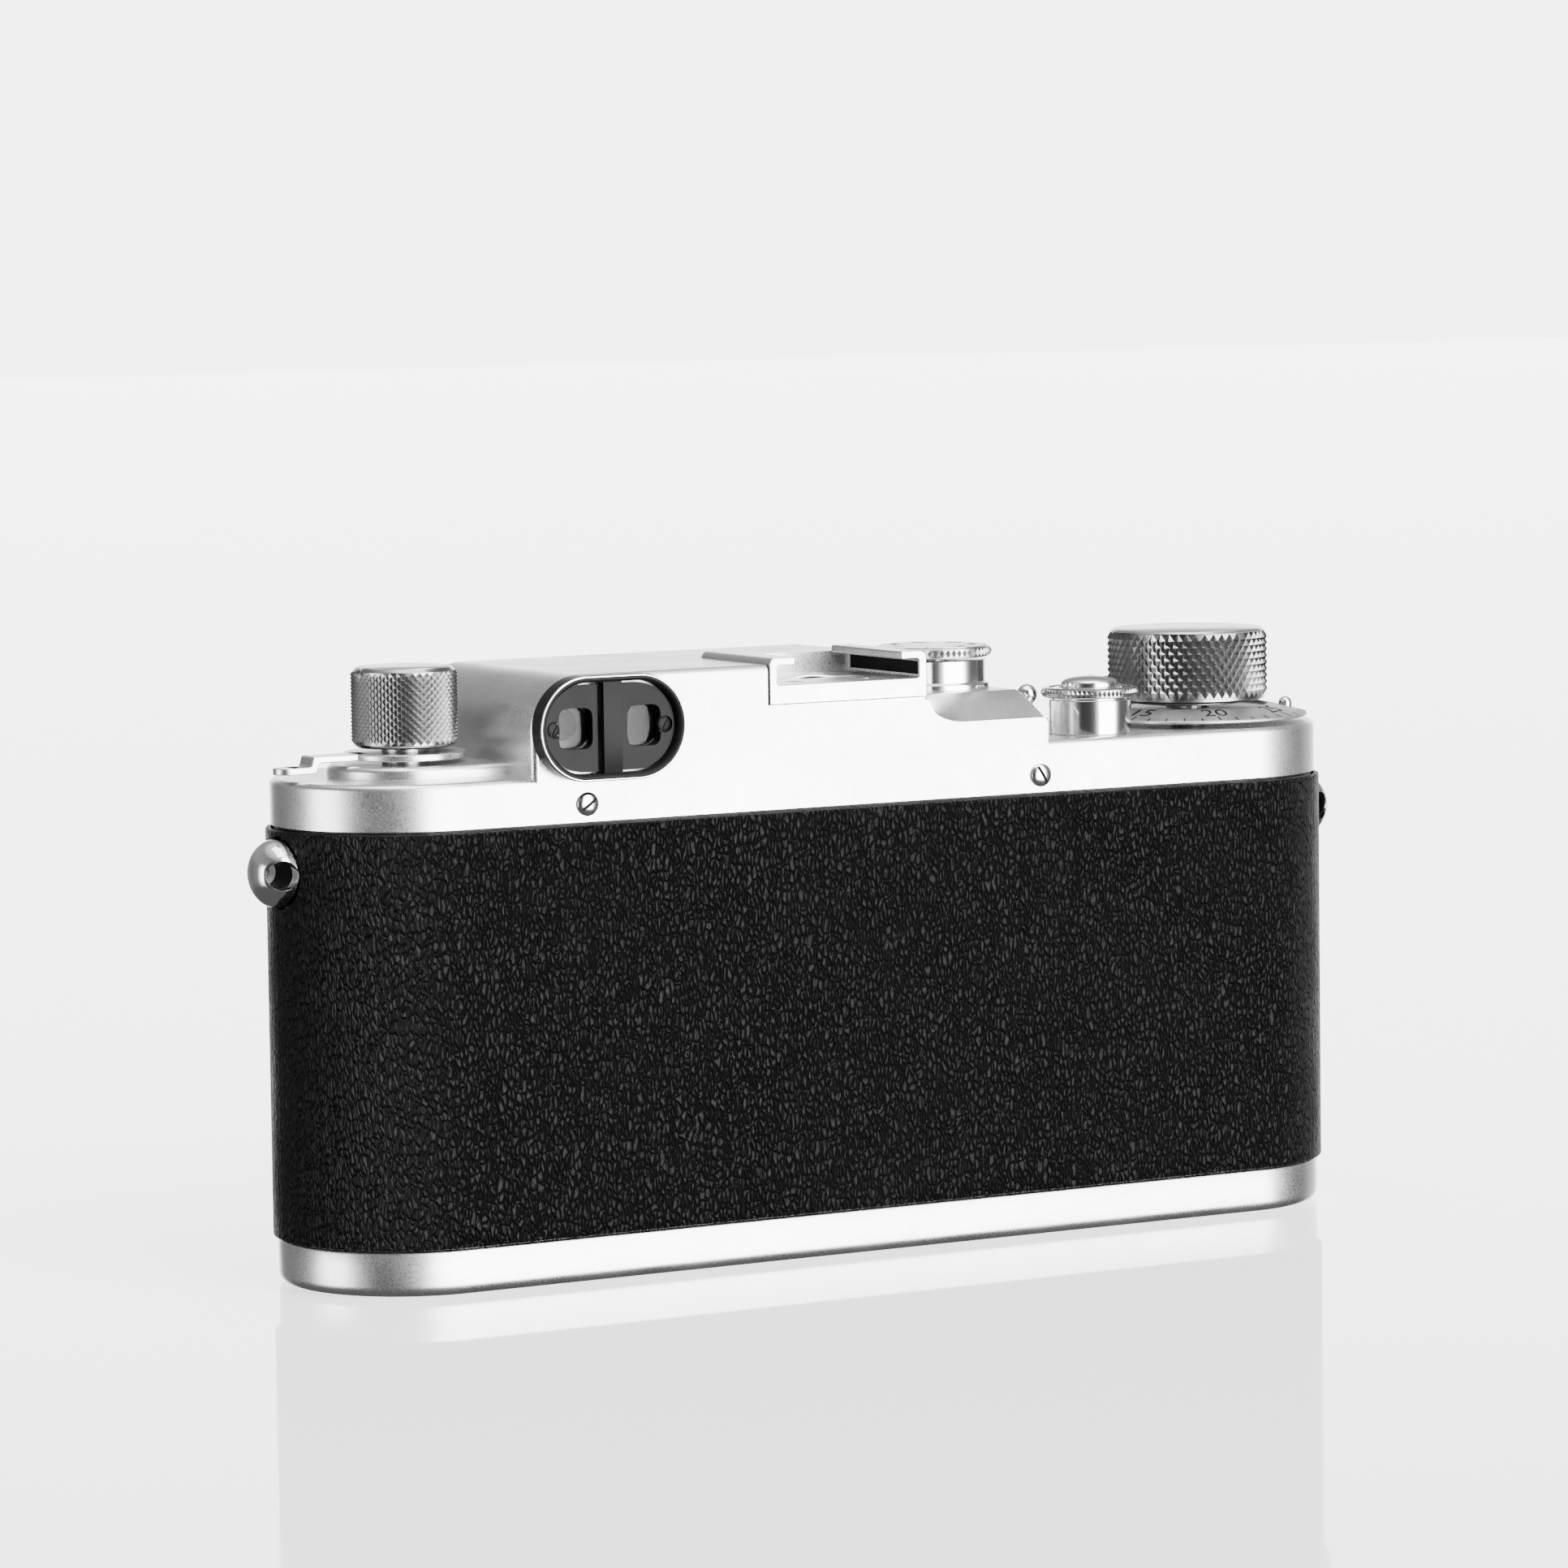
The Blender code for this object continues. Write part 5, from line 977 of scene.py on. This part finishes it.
def build_speed_dials():
    at = (SPEED_X, 0, PLATEAU)
    profile = round_profile(
        [(3.3, 0.02), (6.7, 0.02), (6.7, 0.7), (6.2, 0.8), (6.2, 3.4), (3.3, 3.4)],
        [0, 0, 0.2, 0.1, 0.1, 0],
    )
    piece("speed_dial_post", turned(profile, 96), "bright", stands_for="speed_dial_column", at=at)
    low, high = 3.7, 5.0
    below = [(0, low), (6.4, low), (6.65, low + 0.05)]
    above = [(6.6, high - 0.1), (6.3, high), (0, high + 0.05)]
    dial = knurled(below, SPEED_DIAL_RADIUS, low + 0.15, high - 0.2, above, 60, 2, 0.3)
    piece("speed_dial_disc", dial, "knurl", "speed_dial", "speed_dial", at, sharp=24)
    cap = turned([(0, high - 0.3), (6.35, high - 0.3), (6.35, high + 0.01), (0, high + 0.06)], 96)
    piece("speed_dial_top", cap, "satin", "speed_dial", at=at)
    labels = ("Z", "1", "30", "60", "100", "200", "500")
    marks = merged(*dial_marks(labels, 4.7, 1.45), *ticks(7, 5.8, 6.3, 0.14))
    marks = lay_on(marks, lambda radius: high + 0.01 + 0.05 * (1 - radius / 6.35) + 0.01)
    piece("speed_dial_numbers", marks, "mark", "speed_dial", at=at)

    at = (SLOW_X, -BODY_DEPTH / 2 - 0.3, SLOW_Z)
    below = [(0, -3.0), (1.8, -3.0), (1.8, 0.0), (5.0, 0.0)]
    above = [(5.0, 1.4), (4.8, 1.5), (0, 1.5)]
    dial = knurled(below, SLOW_DIAL_RADIUS, 0.15, 1.25, above, 44, 2, 0.25)
    tab = soft_prism(rounded([(-1, 3.0), (1, 3.0), (1, 4.7), (-1, 4.7)], 0.4), 1.4, 2.3)
    piece("slow_dial_disc", merged(dial, tab), "satin", "slow_dial", "slow_speed_dial", at, FORWARD)
    marks = merged(*dial_marks(("30", "15", "8", "4", "2", "1"), 3.1, 1.2, start=120, sweep=300))
    marks = lay_on(marks, lambda radius: 1.51)
    piece("slow_dial_numbers", marks, "mark", "slow_dial", at=at, turn=FORWARD)


# ---- lens ---------------------------------------------------------------------


def build_lens():
    at = (0, 0, LENS_Z)
    profile = [(19.5, 12.7), (20.4, 12.7), (20.4, 14.8)]
    profile += [(FLANGE_RADIUS, 14.8), (FLANGE_RADIUS, 17.4), (19.5, 17.4)]
    flange = turned(round_profile(profile, [0, 0, 0, 0, 0.35, 0.1]), 144)
    piece("lens_flange_ring", flange, "bright", stands_for="lens_flange", at=at, turn=FORWARD)
    for i in range(4):
        head = screw_head(0.62, 0.14, 20 + 33 * i, 0.16, 0.2)
        head = moved(head, *on_circle(20.7, 45 + 90 * i), 17.3)
        piece(f"flange_screw_{i + 1}", head, "bright", at=at, turn=FORWARD)

    profile = [(15.9, 12.9), (19.2, 12.9), (19.2, 17.7), (21.4, 17.7), (21.4, 19.7), (15.9, 19.7)]
    ring = turned(round_profile(profile, [0, 0, 0, 0.2, 0.5, 0.1]), 144)
    piece("depth_scale_ring", ring, "satin", stands_for="lens_mount_ring", at=at, turn=FORWARD)

    low, high = 20.0, 22.6
    below = [(15.9, high), (15.9, low), (21.9, low)]
    above = [(21.9, high - 0.4), (21.6, high - 0.05), (21.3, high)]
    ring = knurled(below, FOCUS_RING_RADIUS, low + 0.2, high - 0.5, above, 110, 2, 0.35)
    tab = turned(round_profile([(0, 20.3), (2.6, 20.3), (2.6, 23.8), (0, 23.8)], 0.25), 56)
    arm = box((20.4, -1.8, 20.3), (23.9, 1.8, 22.0))
    grip = moved(merged(moved(tab, x=23.9), arm), turn=-120)
    piece("focus_ring_knurled", merged(ring, grip), "satin", "focus", "focus_ring", at, FORWARD, sharp=24)
    labels = ("1", "1.25", "1.5", "2", "3", "5", "10")
    marks = merged(*dial_marks(labels, 19.9, 1.5, False, 30, 240), *ticks(28, 20.8, 21.3, 0.14, 30, 240))
    piece("focus_numbers", lay_on(marks, lambda radius: high + 0.01), "mark", "focus", at=at, turn=FORWARD)

    profile = [(13.6, 12.5), (15.6, 12.5), (15.6, 22.9), (18.2, 22.9), (18.2, 24.4), (13.6, 24.4)]
    collar = turned(round_profile(profile, [0, 0.1, 0, 0.1, 0.4, 0.2]), 144)
    piece("lens_collar", collar, "satin", "carrier", "lens_carrier", at, FORWARD)

    head, nose = 40.1, 44.6
    profile = [(12.3, 21.9), (13.3, 21.9), (13.3, head), (17.6, head), (BARREL_HEAD, head + 0.3)]
    profile += [(BARREL_HEAD, nose - 0.4), (17.7, nose - 0.1), (17.5, nose), (15.9, nose), (14.9, 42.6)]
    profile += [(14.6, 41.7), (7.9, 41.7), (7.4, 42.4), (6.6, 42.4), (6.3, 41.7), (6.3, 37.1), (12.3, 37.1)]
    tube = turned(profile, 144)
    piece("lens_barrel", tube, "bright", "tube", "lens_tube", at, FORWARD)
    profile = round_profile([(7.5, 42.0), (14.3, 42.0), (14.3, 42.5), (7.5, 42.9)], 0.1)
    tab = box((11.7, -0.7, 42.2), (13.4, 0.7, 43.9))
    tab.transform(Matrix.Rotation(math.radians(60), 4, "Z"))
    ring = merged(turned(profile, 96), tab)
    piece("aperture_scale_ring", ring, "enamel", "aperture", "aperture_ring", at, FORWARD, bevel=0.08)
    bulge = [(6.0 * c, 41.1 + 1.1 * s) for c, s in arc((0, 0), 1, 0, 88, 16)]
    glass = turned([(0, 39.5), (6.0, 39.5), *bulge, (0, 42.2)], 72)
    piece("front_element", glass, "lens", "tube", "front_glass", at, FORWARD)


# ---- carried-over solids ------------------------------------------------------

INSIDE = {
    "alloy": ("body_shell", "optical_block", "shutter_crate", "film_gate"),
    "steel": (
        "base_catch_stud",
        "wind_shaft",
        "sprocket_drum",
        "rewind_shaft",
        "speed_spindle",
        "curtain_drum",
        "curtain_roller",
        "pressure_plate",
    ),
    "enamel": ("take_up_spool",),
    "brass": ("rangefinder_arm",),
    "cloth": ("shutter_curtain",),
    "lens": ("rear_glass",),
}


def finish_inside():
    for material, names in INSIDE.items():
        for name in names:
            NODES[name].material_slots[0].material = MATERIALS[material]


# ---- studio -------------------------------------------------------------------


def panel(name, place, aim, size, energy):
    """A square soft light."""
    light = bpy.data.lights.new(name, "AREA")
    light.shape = "SQUARE"
    light.size = size
    light.energy = energy
    thing = bpy.data.objects.new(name, light)
    bpy.context.scene.collection.objects.link(thing)
    thing.location = place
    thing.rotation_euler = (Vector(aim) - Vector(place)).to_track_quat("-Z", "Y").to_euler()
    return thing


def by_bearing(s, bearing, stops):
    """Brightness that changes with the compass direction."""
    ramp = s.node("ShaderNodeValToRGB")
    s.link(s.ramp(bearing, -math.pi, math.pi, 0.0, 1.0), ramp.inputs["Fac"])
    elements = ramp.color_ramp.elements
    while len(elements) < len(stops):
        elements.new(0.5)
    for element, (degrees, level) in zip(elements, stops):
        element.position = (degrees + 180) / 360
        element.color = (level, level, level, 1)
    return ramp.outputs["Color"]


def blend(s, mask, first, second):
    mix = s.node("ShaderNodeMix", data_type="RGBA")
    s.link(mask, mix.inputs[0])
    s.link(first, mix.inputs[6])
    if isinstance(second, float):
        mix.inputs[7].default_value = (second, second, second, 1)
    else:
        s.link(second, mix.inputs[7])
    return mix.outputs[2]


def build_surroundings():
    """What the chrome reflects: bright panels at some bearings and a dark room at others."""
    world = bpy.data.worlds.new("studio")
    world.use_nodes = True
    s = Shader(world.node_tree)
    background = world.node_tree.nodes["Background"]
    parts = s.node("ShaderNodeSeparateXYZ")
    s.link(s.node("ShaderNodeTexCoord").outputs["Generated"], parts.inputs[0])
    bearing, height = s.math("ARCTAN2", parts.outputs["Y"], parts.outputs["X"]), parts.outputs["Z"]
    level = by_bearing(s, bearing, LEVEL_STOPS)
    level = blend(s, s.ramp(height, 0.14, 0.34, 0.0, 1.0), level, by_bearing(s, bearing, RAISED_STOPS))
    level = blend(s, s.ramp(height, 0.68, 0.88, 0.0, 1.0), level, OVERHEAD)
    level = blend(s, s.ramp(height, -0.25, -0.45, 0.0, 1.0), level, BELOW)
    seen = s.node("ShaderNodeLightPath").outputs["Is Camera Ray"]
    s.link(blend(s, seen, level, BACKDROP), background.inputs["Color"])
    bpy.context.scene.world = world


def build_studio():
    build_surroundings()
    s = new_material("glossy_white_floor", (0.8, 0.8, 0.8), 0.1, IOR=1.45, Emission_Strength=FLOOR_GLOW)
    s.main.inputs["Emission Color"].default_value = (1, 1, 1, 1)
    noise = s.node("ShaderNodeTexNoise", Scale=6.0, Detail=3.0)
    s.link(s.place, noise.inputs["Vector"])
    s.link(s.ramp(noise.outputs["Fac"], 0.3, 0.7, 0.03, 0.05), s.main.inputs["Roughness"])
    clear, choose = s.node("ShaderNodeBsdfTransparent"), s.node("ShaderNodeMixShader")
    s.link(s.node("ShaderNodeLightPath").outputs["Is Camera Ray"], choose.inputs[0])
    s.link(clear.outputs[0], choose.inputs[1])
    s.link(s.main.outputs[0], choose.inputs[2])
    output = next(node for node in s.tree.nodes if node.type == "OUTPUT_MATERIAL")
    s.link(choose.outputs[0], output.inputs["Surface"])
    mesh = bpy.data.meshes.new("floor")
    mesh.from_pydata([(-4, -4, 0), (4, -4, 0), (4, 4, 0), (-4, 4, 0)], [], [(0, 1, 2, 3)])
    mesh.materials.append(s.material)
    floor = bpy.data.objects.new("floor", mesh)
    bpy.context.scene.collection.objects.link(floor)
    floor.location = (0, 0, -0.00005)

    middle = (0, 0, 0.035)
    panel("overhead", (0.0, 0.1, 0.9), middle, 0.7, 8.0)


def build_camera():
    azimuth, elevation, roll = map(math.radians, (150.064, 4.928, -0.795))
    level = math.cos(elevation)
    back = Vector((math.sin(azimuth) * level, -math.cos(azimuth) * level, math.sin(elevation)))
    right = Vector((0, 0, 1)).cross(back).normalized()
    up = back.cross(right)
    turned_right = right * math.cos(roll) + up * math.sin(roll)
    turned_up = up * math.cos(roll) - right * math.sin(roll)
    data = bpy.data.cameras.new("viewpoint")
    data.sensor_width = 36.0
    data.lens = 152.57
    data.clip_start, data.clip_end = 0.05, 20
    thing = bpy.data.objects.new("viewpoint", data)
    bpy.context.scene.collection.objects.link(thing)
    spin = Matrix((turned_right, turned_up, back)).transposed().to_4x4()
    thing.matrix_world = Matrix.Translation(Vector((384.8, 662.3, 118.85)) * MM) @ spin
    bpy.context.scene.camera = thing


MATERIALS = make_materials()
build_body()
build_lugs()
build_cover()
build_eyepieces()
build_windows()
build_shoe()
build_wind_side()
build_rewind_side()
build_release()
build_lever()
build_speed_dials()
build_lens()
finish_inside()
build_studio()
build_camera()
